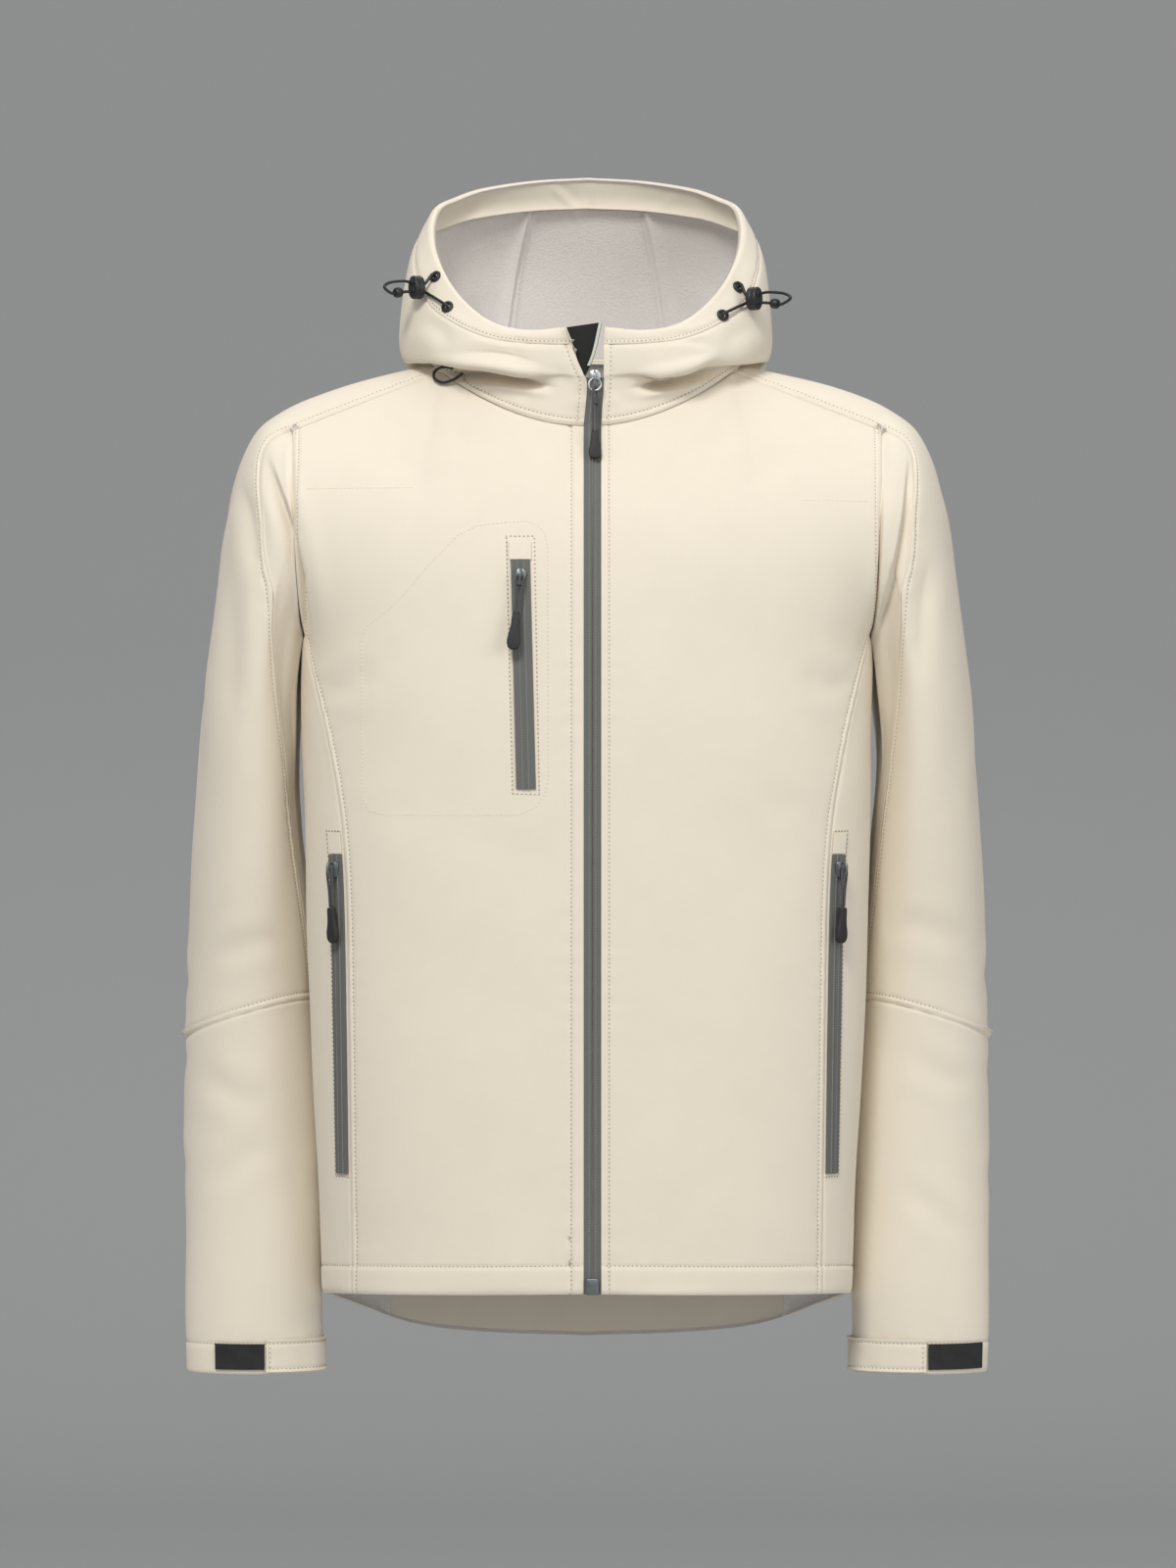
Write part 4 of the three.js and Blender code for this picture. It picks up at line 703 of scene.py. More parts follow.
def grid_normals(grid, toward, closed=False):
    """The normals of a grid, which face away from a place inside it."""
    if closed:
        wide = np.concatenate((grid[:, -2:-1], grid, grid[:, 1:2]), 1)
        across = wide[:, 2:] - wide[:, :-2]
    else:
        across = np.gradient(grid, axis=1)
    normals = np.cross(across, np.gradient(grid, axis=0))
    size = np.linalg.norm(normals, axis=-1, keepdims=True)
    normals = normals / np.maximum(size, 1e-9)
    for end, inner in ((0, 2), (-1, -3)):
        if size[end].max() < 1e-3 or np.linalg.norm(grid[end, 0] - grid[end, -1]) < 1e-3:
            normals[end] = unit(normals[inner].mean(0))
    if (normals * (grid - toward)).sum() < 0:
        normals = -normals
    return normals


def softened(grid, across, up, near, rounds=60):
    """The grid with the bend across a level eased away from the edges and from the middle of the body."""
    level, reach, from_x = near
    at_edge, at_middle = 22, 45
    edge = np.minimum(np.minimum(across, across[:, -1:] - across), np.minimum(up, up[-1:] - up))
    weight = smooth(edge / at_edge) * smooth((np.abs(grid[..., 0]) - from_x) / at_middle)
    weight = (weight * np.exp(-((grid[..., 2] - level) / reach) ** 2))[..., None]
    for _ in range(rounds):
        middle = grid.copy()
        middle[1:-1] = 0.25 * grid[:-2] + 0.5 * grid[1:-1] + 0.25 * grid[2:]
        grid = grid + (middle - grid) * weight
    return grid


class Panel:
    """A cloth panel as a fine grid: rows upwards, columns across, each edge with its own finish."""

    def __init__(self, grid, toward, edges, step=4.0, closed=False, thick=CLOTH, lift=0.0, stitched=(),
                 joined=EDGES, calm=1.0, form=None, soften=None, round_below=None):
        up_step, across_step = step if isinstance(step, tuple) else (step, step)
        left, right, low, high = edges
        self.edges = dict(zip(EDGES, edges))
        self.closed, self.stitched = closed, stitched
        dense = refine(refine(grid, 4, 0), 4, 1, closed)
        dense = respace(dense, 0, low, high, up_step)
        self.grid = respace(dense, 1, left, right, across_step)
        across, up = lengths(self.grid, 1), lengths(self.grid, 0)
        self.across, self.up = across, up
        self.gaps = {"left": across, "right": across[:, -1:] - across, "low": up, "high": up[-1:] - up}
        if soften is not None:
            self.grid = softened(self.grid, across, up, soften)
        self.normals = grid_normals(self.grid, toward, closed)
        if round_below is not None:
            self.face_out(toward, round_below)
        self.width, self.length = float(across[:, -1].max()), float(up[-1].max())
        steps = np.cross(self.grid[1:, :-1] - self.grid[:-1, :-1], self.grid[:-1, 1:] - self.grid[:-1, :-1])
        self.area = float(np.linalg.norm(steps, axis=-1).sum())
        self.height = calm * relief(self.grid, self.normals)
        allowance = self.end_folds(joined)
        if form is not None:
            self.height += form(across, across[:, -1:])
        for name in joined:
            self.height -= DIP * np.exp(-(self.gaps[name] / DIP_REACH) ** 2)
        for name, distance in stitched:
            self.pull_in(name, distance)
        self.outer = self.grid + self.normals * (self.height + lift)[..., None]
        self.inner = self.outer - self.normals * (thick + allowance)[..., None]

    def face_out(self, toward, below):
        """Where rows crowd together at a pointed end, the cloth faces straight out of the sleeve."""
        out = self.grid - np.array(toward, float)
        out[..., 2] = 0
        out /= np.linalg.norm(out, axis=-1, keepdims=True)
        share = smooth((below - self.grid[..., 2:]) / 30)
        self.normals = self.normals * (1 - share) + out * share
        self.normals /= np.linalg.norm(self.normals, axis=-1, keepdims=True)

    def end_folds(self, joined):
        """Fades the folds out at the edges. Returns the seam allowances, which thicken the cloth inside."""
        allowance = np.zeros_like(self.height)
        for name, gap in self.gaps.items():
            if self.closed and name in ("left", "right"):
                continue
            self.height *= smooth(gap / FOLDS_END)
            if name in joined:
                allowance = np.maximum(allowance, ALLOWANCE * np.exp(-(gap / ALLOWANCE_REACH) ** 2))
        return allowance

    def pull_in(self, name, distance):
        """Shapes the cloth along a row of stitches at a distance from an edge."""
        gap = self.gaps[name]
        run = self.up if name in ("left", "right") else self.across
        groove = np.exp(-((gap - distance) / GROOVE_REACH) ** 2)
        self.height += RISE * smooth((distance - gap) / RISE_REACH) - GROOVE * groove
        ripple = np.sin(run / 2.4 + 1.3 * np.sin(run / 17)) * (0.6 + np.sin(run / 31 + 0.5))
        self.height += PUCKER * ripple * np.exp(-np.abs(gap - distance) / PUCKER_REACH)

    def line(self, edge, distance):
        """The points of the stitch line at a distance from an edge, on the outside."""
        index = int(np.argmin([abs(gap - distance) for gap in self.edges[edge]]))
        if edge in ("right", "high"):
            index = -1 - index
        return self.outer[:, index] if edge in ("left", "right") else self.outer[index]


def grid_of(rows, cols, point):
    """A grid of the points that a function gives for its rows and columns."""
    return np.array([[point(i, j) for j in range(cols + 1)] for i in range(rows + 1)], float)


def flipped(grid, side):
    return grid * np.array((side, 1, 1))


# The panels by the names of their nodes. The place that a panel is given lies inside, and it faces away.
PANELS = {}


def whole_width(half):
    """A grid over both sides of the back, from its left half."""
    return np.concatenate((flipped(half, -1)[:, ::-1], half[:, 1:]), 1)


def cut_body():
    for side, tag in SIDES:
        grid = flipped(grid_of(TOP * 4, 24, lambda i, j: front_point(j / 24, i / 4, side)), side)
        row = ZIP_STITCH[side]
        near_zip = tuple(sorted(set(SEAM) | {row, row - 0.8, row + 0.8}))
        PANELS["front" + tag] = Panel(
            grid, vec(60 * side, 20, -330), (near_zip, SEAM, HEM_EDGE, PLAIN), 3.8,
            stitched=(("left", row), ("right", TOPSTITCH), ("low", HEM_STITCH)), soften=(ARMPIT_Z, 60, 70),
            joined=("right", "low", "high"))
    grid = grid_of(LOWER * 4, 12, lambda i, j: side_point(j / 12, i / 4))
    for side, tag in SIDES:
        PANELS["side" + tag] = Panel(flipped(grid, side), vec(100 * side, 0, -400),
                                     (PLAIN, PLAIN, HEM_EDGE, PLAIN), 4, stitched=(("low", HEM_STITCH),))
    grid = whole_width(grid_of(TOP * 4, 24, lambda i, j: back_point(j / 24, i / 4)))
    PANELS["back"] = Panel(
        grid, vec(0, -40, -330), (SEAM, SEAM, HEM_EDGE, PLAIN), 5.2,
        stitched=(("left", TOPSTITCH), ("right", TOPSTITCH), ("low", HEM_STITCH)), soften=(ARMPIT_Z, 60, 0))
    grid = whole_width(grid_of(4, 24, lambda i, j: back_point(j / 24, 1.35 * i / 4)))
    PANELS["back_hem_facing"] = Panel(grid, vec(0, -40, -660), (PLAIN,) * 4, 5, thick=TAPE,
                                      lift=-CLOTH - 0.3, joined=())


def cut_sleeves():
    upper = grid_of(ELBOW * 4, 28, lambda i, j: upper_point(1 - j / 14, i / 4))
    under = grid_of(LOOP_STEPS * 3, 16, lambda i, j: under_point(i / 3, j / 16))
    seam, back = sleeve.seam(ELBOW), sleeve.back_seam(ELBOW)

    def round_point(i, j):
        angle = lerp(seam, -back, j / 24) if j <= 24 else lerp(360 - back, seam, (j - 24) / 16)
        return section_point(angle, lerp(ELBOW, CUFF, i / 18))
    forearm = grid_of(18, 40, round_point)
    for side, tag in SIDES:
        PANELS["sleeve_upper" + tag] = Panel(
            flipped(upper, side), vec(205 * side, 8, -200), (SEAM, SEAM, PLAIN, SEAM), 4.0,
            stitched=(("left", TOPSTITCH), ("right", TOPSTITCH), ("high", TOPSTITCH)))
        PANELS["sleeve_under" + tag] = Panel(
            flipped(under, side), vec(245 * side, 8, -250), (PLAIN,) * 4, (6.0, 4.0),
            joined=("left", "right"), round_below=-280)
        PANELS["forearm" + tag] = Panel(
            flipped(forearm, side), vec(245 * side, 15, -600), ((0,), (0,), PLAIN, CUFF_EDGE), 3.6,
            closed=True, stitched=(("high", CUFF_STITCH),), joined=("low", "high"))


def cut_hood():
    inside = vec(0, 0, 50)
    rows = 44

    def row(angle, side, k):
        return mirror(hood_point(angle, brim_start(angle, side) * k / rows, side), side)

    def middle(k, j):
        side = -1 if j < 6 else 1
        return row(hood_angle(HOOD_STEPS - abs(j - 6) / 3, side), side, k)

    def band(deep):
        def point(i, j):
            side = -1 if j < HOOD_STEPS * 3 else 1
            angle = hood_angle(HOOD_STEPS - abs(j / 3 - HOOD_STEPS), side)
            start = lerp(5, brim_start(angle, side), deep)
            return mirror(hood_point(angle, lerp(start, 5, i / 6), side), side)
        return grid_of(6, 6 * HOOD_STEPS, point)

    for side, tag in SIDES:
        grid = grid_of(rows, HOOD_SEAM * 3, lambda k, j: row(hood_angle(j / 3, side), side, k))
        PANELS["hood_side" + tag] = Panel(
            grid, inside, (SEAM, PLAIN, SEAM, PLAIN), 3.5, joined=("right", "low", "high"),
            stitched=(("left", TOPSTITCH), ("low", TOPSTITCH)))
    PANELS["hood_center"] = Panel(
        grid_of(rows, 12, middle), inside, (SEAM, SEAM, PLAIN, PLAIN), 4.2,
        stitched=(("left", TOPSTITCH), ("right", TOPSTITCH)))
    PANELS["hood_brim"] = Panel(band(1), inside, (SEAM, SEAM, BRIM_EDGE, PLAIN), 3.4,
                                stitched=(("low", BRIM_STITCH),))
    PANELS["hood_facing"] = Panel(band(0.95), inside, (PLAIN, PLAIN, BRIM_EDGE, PLAIN), 3.6, thick=TAPE,
                                  lift=-CLOTH - 0.6, joined=("low",))


# Places on the cloth

class Spot:
    """A place on the cloth with its own directions: across, up and out."""

    def __init__(self, p, out, up):
        self.p, self.out = np.array(p, float), unit(np.array(out, float))
        up = np.array(up, float)
        self.up = unit(up - self.out * (up @ self.out))
        self.across = np.cross(self.up, self.out)

    def at(self, x=0.0, y=0.0, z=0.0):
        return self.p + self.across * x + self.up * y + self.out * z

    def moved(self, x=0.0, y=0.0, z=0.0):
        return Spot(self.at(x, y, z), self.out, self.up)

    def place(self, points):
        points = np.asarray(points, float)
        return (self.p + points[..., :1] * self.across + points[..., 1:2] * self.up
                + points[..., 2:3] * self.out)


def frame_of(point, u, v, du, dv, side):
    """The spot of a surface at (u, v), with directions from its neighbours."""
    along = mirror(point(u + du, v), side) - mirror(point(u - du, v), side)
    up = mirror(point(u, v + dv), side) - mirror(point(u, v - dv), side)
    return Spot(mirror(point(u, v), side), np.cross(along, up) * side, up)


@lru_cache(maxsize=None)
def front_spot(x, z, side):
    """The spot on a front panel that shows at (x, z)."""
    across, row = clamp01(x * side / 200), float(LOWER)
    for _ in range(60):
        p = front_point(across, row, side)
        across = min(0.98, max(0.02, across + (x * side - p[0]) / HALF_BACK * 0.7))
        row = min(TOP - 0.1, max(0.1, row + (z - p[2]) / 50 * 0.7))
    return frame_of(lambda u, v: front_point(u, v, side), across, row, 0.01, 0.1, side)


def side_spot(behind, z, side):
    """The spot on a side panel so far behind the front princess seam, at a height."""
    def point(d, level):
        seam = front_seam(level)
        degree = np.linalg.norm(ring_point(level, seam) - ring_point(level, seam + 1))
        return ring_point(level, seam + d / degree)
    return frame_of(point, behind, z, 0.5, 2, side)


def brim_spot(x, z, side):
    """The spot on the hood's brim that shows nearest to (x, z)."""
    best = None
    for angle in range(45, 100):
        for k in range(30):
            at = 4.1 + 0.03 * k
            p = hood_point(angle, at, side)
            miss = math.hypot(p[0] - x * side, p[2] - z)
            if best is None or miss < best[0]:
                best = (miss, angle, at)
    return frame_of(lambda u, v: hood_point(u, v, side), best[1], best[2], 0.5, 0.03, side)


# Building meshes

def mesh_object(name, points, faces, materials, face_materials=None, uv=None, merge=True):
    """A finished mesh in metres, with smooth faces."""
    mesh = bpy.data.meshes.new(name)
    mesh.from_pydata((np.asarray(points) * MM).tolist(), [], faces)
    for material in materials:
        mesh.materials.append(material)
    if face_materials is not None:
        mesh.polygons.foreach_set("material_index", face_materials)
    if uv is not None:
        layer = mesh.uv_layers.new(name="cloth")
        loops = np.zeros(len(mesh.loops), int)
        mesh.loops.foreach_get("vertex_index", loops)
        layer.data.foreach_set("uv", (np.asarray(uv)[loops] * MM).ravel())
    mesh.polygons.foreach_set("use_smooth", [True] * len(mesh.polygons))
    if merge:
        tidy = bmesh.new()
        tidy.from_mesh(mesh)
        bmesh.ops.remove_doubles(tidy, verts=tidy.verts, dist=2e-6)
        bmesh.ops.dissolve_degenerate(tidy, edges=tidy.edges, dist=1e-6)
        bmesh.ops.recalc_face_normals(tidy, faces=tidy.faces)
        tidy.to_mesh(mesh)
        tidy.free()
    mesh.update()
    made = bpy.data.objects.new(name, mesh)
    bpy.context.scene.collection.objects.link(made)
    return made


def quads(index_a, index_b):
    """Faces between two rows of point numbers."""
    return [(a, b, d, c) for a, b, c, d in zip(index_a[:-1], index_a[1:], index_b[:-1], index_b[1:])]


def panel_object(name, panel, outside, inside):
    """A panel's thin shell: outer face, inner face and rims."""
    rows, cols = panel.grid.shape[:2]
    outer, inner = panel.outer, panel.inner
    points = np.concatenate((outer.reshape(-1, 3), inner.reshape(-1, 3)))
    index = np.arange(rows * cols).reshape(rows, cols)
    back = index + rows * cols
    faces, kinds = [], []
    for i in range(rows - 1):
        faces += quads(index[i], index[i + 1])
    kinds += [0] * len(faces)
    for i in range(rows - 1):
        faces += [tuple(reversed(face)) for face in quads(back[i], back[i + 1])]
    kinds += [1] * (len(faces) - len(kinds))
    rims = [(index[0], back[0]), (back[-1], index[-1])]
    if not panel.closed:
        rims += [(back[:, 0], index[:, 0]), (index[:, -1], back[:, -1])]
    for a, b in rims:
        faces += quads(b, a)
    kinds += [0] * (len(faces) - len(kinds))
    uv = np.stack((panel.across, panel.up), -1).reshape(-1, 2)
    return mesh_object(name, points, faces, [outside, inside], kinds, np.concatenate((uv, uv)))


def dressed(made, slot, *nodes, rides=BODY):
    """Rides a finished piece on its body, in place of its CAD nodes."""
    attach(made, rides)
    if nodes:
        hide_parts(*nodes)
    return made


def rings_object(name, rings, material, capped=True):
    """A closed skin over rings of points."""
    rings = np.asarray(rings, float)
    count, round_count = rings.shape[:2]
    index = np.arange(count * round_count).reshape(count, round_count)
    closed = np.concatenate((index, index[:, :1]), 1)
    faces = []
    for i in range(count - 1):
        faces += quads(closed[i], closed[i + 1])
    points = rings.reshape(-1, 3)
    if capped:
        middles = np.stack((rings[0].mean(0), rings[-1].mean(0)))
        points = np.concatenate((points, middles))
        first, last = len(points) - 2, len(points) - 1
        faces += [(a, first, b) for a, b in zip(closed[0][:-1], closed[0][1:])]
        faces += [(b, last, a) for a, b in zip(closed[-1][:-1], closed[-1][1:])]
    else:
        faces += quads(closed[-1], closed[0])
    return mesh_object(name, points, faces, [material])


def turned(name, spot, profile, material, capped=True, count=28):
    """A solid of revolution about a spot's out direction. profile holds radius and height."""
    angles = np.linspace(0, 2 * math.pi, count, endpoint=False)
    rings = [spot.place(np.stack((r * np.cos(angles), r * np.sin(angles), np.full(count, h)), -1))
             for r, h in profile]
    return rings_object(name, rings, material, capped)


def tube(name, points, radius, material, round_count=10, times=6):
    """A cord's tube along a smooth line through points, with closed ends."""
    line = refine(np.asarray(points, float)[None], times, 1)[0]
    tangent = np.gradient(line, axis=0)
    tangent /= np.linalg.norm(tangent, axis=1, keepdims=True)
    side = unit(np.cross(tangent[0], vec(0.3, 0.2, 1)))
    angles = np.linspace(0, 2 * math.pi, round_count, endpoint=False)
    rings = []
    for p, t in zip(line, tangent):
        side = unit(side - t * (side @ t))
        other = np.cross(t, side)
        rings.append(p + radius * (np.cos(angles)[:, None] * side + np.sin(angles)[:, None] * other))
    return rings_object(name, rings, material)


# Materials

class Value:
    """A shader socket that takes part in sums."""

    def __init__(self, shade, socket):
        self.shade, self.socket = shade, socket

    def _math(self, operation, a, b):
        return self.shade.node("ShaderNodeMath", {"operation": operation}, {0: a, 1: b})

    def __add__(self, other):
        return self._math("ADD", self, other)

    def __radd__(self, other):
        return self._math("ADD", other, self)

    def __mul__(self, other):
        return self._math("MULTIPLY", self, other)

    def __rmul__(self, other):
        return self._math("MULTIPLY", other, self)


class Shade:
    """Builds one node material."""

    def __init__(self, name, **fixed):
        self.material = bpy.data.materials.new(name)
        self.material.use_nodes = True
        self.tree = self.material.node_tree
        self.shader = self.tree.nodes["Principled BSDF"]
        for socket, value in fixed.items():
            self.shader.inputs[socket.replace("_", " ")].default_value = value

    def node(self, kind, settings=None, inputs=None, output=0):
        made = self.tree.nodes.new(kind)
        for key, value in (settings or {}).items():
            setattr(made, key, value)
        for key, value in (inputs or {}).items():
            if isinstance(value, Value):
                self.tree.links.new(value.socket, made.inputs[key])
            else:
                made.inputs[key].default_value = value
        return Value(self, made.outputs[output])

    def feed(self, socket, value):
        self.tree.links.new(value.socket, self.shader.inputs[socket])

    def place(self, uv=False):
        return self.node("ShaderNodeTexCoord", output=2 if uv else 3)

    def noise(self, place, scale, detail=2.0):
        return self.node("ShaderNodeTexNoise", None, {"Vector": place, "Scale": scale, "Detail": detail})

    def wave(self, place, scale, direction, distortion=0.0):
        return self.node("ShaderNodeTexWave", {"bands_direction": direction},
                         {"Vector": place, "Scale": scale, "Distortion": distortion}, output=1)

    def mix(self, factor, a, b):
        return self.node("ShaderNodeMix", {"data_type": "RGBA"}, {0: factor, 6: a, 7: b}, output=2)

    def bump(self, height, strength, distance):
        return self.node("ShaderNodeBump", None,
                         {"Strength": strength, "Distance": distance, "Height": height})


def softshell_material(dark, light):
    """The face of the cloth: a fine weave with a faint mottle."""
    shade = Shade("softshell", Sheen_Weight=0.12, Sheen_Roughness=0.5, Specular_IOR_Level=0.25)
    uv, place = shade.place(uv=True), shade.place()
    weave = shade.wave(uv, 420, "X") * shade.wave(uv, 420, "Y")
    mottle = shade.noise(place, 900, 2.0)
    cloud = shade.noise(place, 45, 3.0)
    tint = shade.mix(cloud, dark, light)
    shade.feed("Base Color", shade.mix(0.3 * mottle, tint, (0.71, 0.64, 0.52, 1)))
    shade.feed("Roughness", 0.74 + 0.1 * mottle)
    shade.feed("Normal", shade.bump(0.5 * weave + 0.5 * mottle, 0.35, 0.00025))
    return shade.material


def fleece_material(dark, light):
    """The back of the cloth: short, soft nap."""
    shade = Shade("fleece", Sheen_Weight=0.3, Sheen_Roughness=0.6, Specular_IOR_Level=0.1)
    place = shade.place()
    nap = shade.noise(place, 620, 4.0)
    cloud = shade.noise(place, 60, 3.0)
    tint = shade.mix(cloud, dark, light)
    shade.feed("Base Color", shade.mix(0.4 * nap, tint, (0.66, 0.62, 0.59, 1)))
    shade.feed("Roughness", 0.88 + 0.08 * nap)
    shade.feed("Normal", shade.bump(nap, 0.7, 0.0008))
    return shade.material


def woven_material(name, dark, light, scale):
    """A narrow woven tape or braid, ribbed across."""
    shade = Shade(name, Specular_IOR_Level=0.25)
    uv, place = shade.place(uv=True), shade.place()
    ribs = shade.wave(uv, scale, "Y", 1.2)
    lines = shade.wave(uv, scale * 1.6, "DIAGONAL", 0.6)
    grain = shade.noise(place, 1400, 2.0)
    weave = 0.6 * ribs + 0.4 * lines
    shade.feed("Base Color", shade.mix(0.6 * weave + 0.4 * grain, dark, light))
    shade.feed("Roughness", 0.7 + 0.15 * grain)
    shade.feed("Normal", shade.bump(weave + 0.3 * grain, 0.5, 0.0003))
    return shade.material


def plain_material(name, dark, light, rough, metallic=0.0, bump=0.15, scale=600):
    """Moulded plastic, thread or metal: fine grain and slightly uneven gloss."""
    shade = Shade(name, Metallic=metallic)
    place = shade.place()
    grain, cloud = shade.noise(place, scale, 3.0), shade.noise(place, scale / 9, 2.0)
    shade.feed("Base Color", shade.mix(cloud, dark, light))
    shade.feed("Roughness", rough + 0.14 * cloud)
    shade.feed("Normal", shade.bump(grain, bump, 0.0001))
    return shade.material


MATERIALS = {}
# Name, dark and light tint, then how rough, how metallic, how bumpy and how fine the grain is
PLAIN_FINISHES = {
    "loop_pile": ((0.006, 0.006, 0.006, 1), (0.03, 0.03, 0.03, 1), 0.8, 0.0, 0.9, 900),
    "black_plastic": ((0.008, 0.009, 0.01, 1), (0.016, 0.017, 0.018, 1), 0.36),
    "black_rubber": ((0.012, 0.012, 0.012, 1), (0.022, 0.022, 0.021, 1), 0.55),
    "steel": ((0.34, 0.355, 0.36, 1), (0.48, 0.495, 0.5, 1), 0.3, 1.0, 0.05),
    "gunmetal": ((0.15, 0.17, 0.172, 1), (0.23, 0.255, 0.258, 1), 0.36, 0.85, 0.08),
    # The thread has the cloth's own tone, made a touch lighter as a painted highlight on the raised stitches
    "thread": ((0.76, 0.68, 0.54, 1), (0.86, 0.78, 0.63, 1), 0.6),
    # The needle's holes: dark dots of painted shade where the thread sinks into the cloth
    "painted_hole_shade": ((0.22, 0.185, 0.135, 1), (0.32, 0.27, 0.2, 1), 0.8),
    "grey_thread": ((0.24, 0.24, 0.23, 1), (0.42, 0.42, 0.4, 1), 0.6),
    "floor": ((0.48, 0.48, 0.48, 1), (0.52, 0.52, 0.52, 1), 0.8, 0.0, 0.02, 3),
}
# Name, dark and light tint, and the ribs' count
WOVEN_FINISHES = {
    "black_fabric": ((0.008, 0.008, 0.008, 1), (0.028, 0.028, 0.028, 1), 420),
    "pull_cord": ((0.06, 0.06, 0.062, 1), (0.15, 0.15, 0.155, 1), 700),
    "binding": ((0.5, 0.54, 0.46, 1), (0.68, 0.71, 0.62, 1), 500),
}


def make_materials():
    tints = bpy.context.scene.jacket
    MATERIALS["softshell"] = softshell_material(tints.cloth_dark, tints.cloth_light)
    MATERIALS["fleece"] = fleece_material(tints.fleece_dark, tints.fleece_light)
    MATERIALS["zip_tape"] = woven_material("zip_tape", tints.tape_dark, tints.tape_light, 560)
    for name, finish in WOVEN_FINISHES.items():
        MATERIALS[name] = woven_material(name, *finish)
    for name, finish in PLAIN_FINISHES.items():
        MATERIALS[name] = plain_material(name, *finish)


# Stitches

def stitch_tree(material):
    """Geometry nodes that set a row of stitches along each line of a mesh's edges."""
    tree = bpy.data.node_groups.new("stitches", "GeometryNodeTree")
    for label, value in (("Geometry", None), ("Spacing", 0.0032), ("Length", 0.0026), ("Radius", 0.0004)):
        kind = "NodeSocketGeometry" if value is None else "NodeSocketFloat"
        socket = tree.interface.new_socket(label, in_out="INPUT", socket_type=kind)
        if value is not None:
            socket.default_value = value
    tree.interface.new_socket("Geometry", in_out="OUTPUT", socket_type="NodeSocketGeometry")
    kinds = {
        "start": "NodeGroupInput", "curve": "GeometryNodeMeshToCurve", "points": "GeometryNodeCurveToPoints",
        "ball": "GeometryNodeMeshUVSphere", "half": "ShaderNodeMath", "size": "ShaderNodeCombineXYZ",
        "place": "GeometryNodeInstanceOnPoints", "real": "GeometryNodeRealizeInstances",
        "smooth": "GeometryNodeSetShadeSmooth", "finish": "GeometryNodeSetMaterial", "end": "NodeGroupOutput",
    }
    nodes = {name: tree.nodes.new(kind) for name, kind in kinds.items()}
    nodes["points"].mode = "LENGTH"
    nodes["half"].operation = "MULTIPLY"
    nodes["half"].inputs[1].default_value = 0.5
    for label, value in (("Segments", 5), ("Rings", 3), ("Radius", 1.0)):
        nodes["ball"].inputs[label].default_value = value
    nodes["finish"].inputs["Material"].default_value = material
    links = (
        ("start", "Geometry", "curve", "Mesh"), ("curve", "Curve", "points", "Curve"),
        ("start", "Spacing", "points", "Length"), ("start", "Length", "half", 0),
        ("start", "Radius", "size", "X"), ("start", "Radius", "size", "Y"), ("half", 0, "size", "Z"),
        ("points", "Points", "place", "Points"), ("ball", "Mesh", "place", "Instance"),
        ("points", "Rotation", "place", "Rotation"), ("size", "Vector", "place", "Scale"),
        ("place", "Instances", "real", "Geometry"), ("real", "Geometry", "smooth", "Geometry"),
        ("smooth", "Geometry", "finish", "Geometry"), ("finish", "Geometry", "end", "Geometry"),
    )
    for source, output, target, socket in links:
        tree.links.new(nodes[source].outputs[output], nodes[target].inputs[socket])
    return tree


def stitched(name, lines, material, sizes, slot="softshell"):
    """One piece that holds the stitches along lines of points. sizes are spacing, length and radius."""
    points, edges = [], []
    for line in lines:
        start = len(points)
        points += [tuple(p) for p in np.asarray(line) * MM]
        edges += [(k, k + 1) for k in range(start, len(points) - 1)]
    mesh = bpy.data.meshes.new(name)
    mesh.from_pydata(points, edges, [])
    made = bpy.data.objects.new(name, mesh)
    bpy.context.scene.collection.objects.link(made)
    modifier = made.modifiers.new("stitches", "NODES")
    modifier.node_group = stitch_tree(material)
    inputs = {item.name: item.identifier for item in modifier.node_group.interface.items_tree
              if item.item_type == "SOCKET" and item.in_out == "INPUT"}
    for label, value in zip(("Spacing", "Length", "Radius"), sizes):
        modifier[inputs[label]] = value * MM
    evaluated = made.evaluated_get(bpy.context.evaluated_depsgraph_get())
    plain = bpy.data.meshes.new_from_object(evaluated)
    made.modifiers.clear()
    made.data = plain
    return dressed(made, slot)


# Cords

CORD_RADIUS = 1.1
# Where each side's eyelets and lock show as x, z, and how far the cord's loop reaches past the lock
HARDWARE = {
    -1: {"upper": (-111, 70), "lower": (-101, 46), "lock": (-117, 57.5), "reach": 21},
    1: {"upper": (110, 62), "lower": (98, 40), "lock": (114.5, 49), "reach": 24},
}
LOCK = {"width": 13, "height": 17, "depth": 8, "apart": 3.2, "off": 10}
BEAD_LENGTH = 6
# Profiles of turned pieces as radius and height
EYELET = ((2.1, 0.2), (2.3, 1.25), (2.9, 1.6), (3.8, 1.45), (4.5, 0.9), (4.7, 0.1), (4.2, 0.0))
HOLE_RIM = ((1.15, -0.2), (1.3, 0.5), (1.9, 0.8), (2.4, 0.3), (2.5, -0.3))
BEAD = ((1.2, -3.0), (2.7, -2.95), (3.4, -2.2), (3.75, -0.8), (3.75, 0.8), (3.4, 2.2), (2.7, 2.95),
        (1.2, 3.0))
# The lock's barrel as its share of the full width and of half the depth
BARREL = ((0.80, -1.0), (0.95, -0.93), (1.0, -0.7), (1.0, -0.15), (0.93, 0.0), (1.0, 0.15), (1.0, 0.7),
          (0.95, 0.93), (0.80, 1.0))


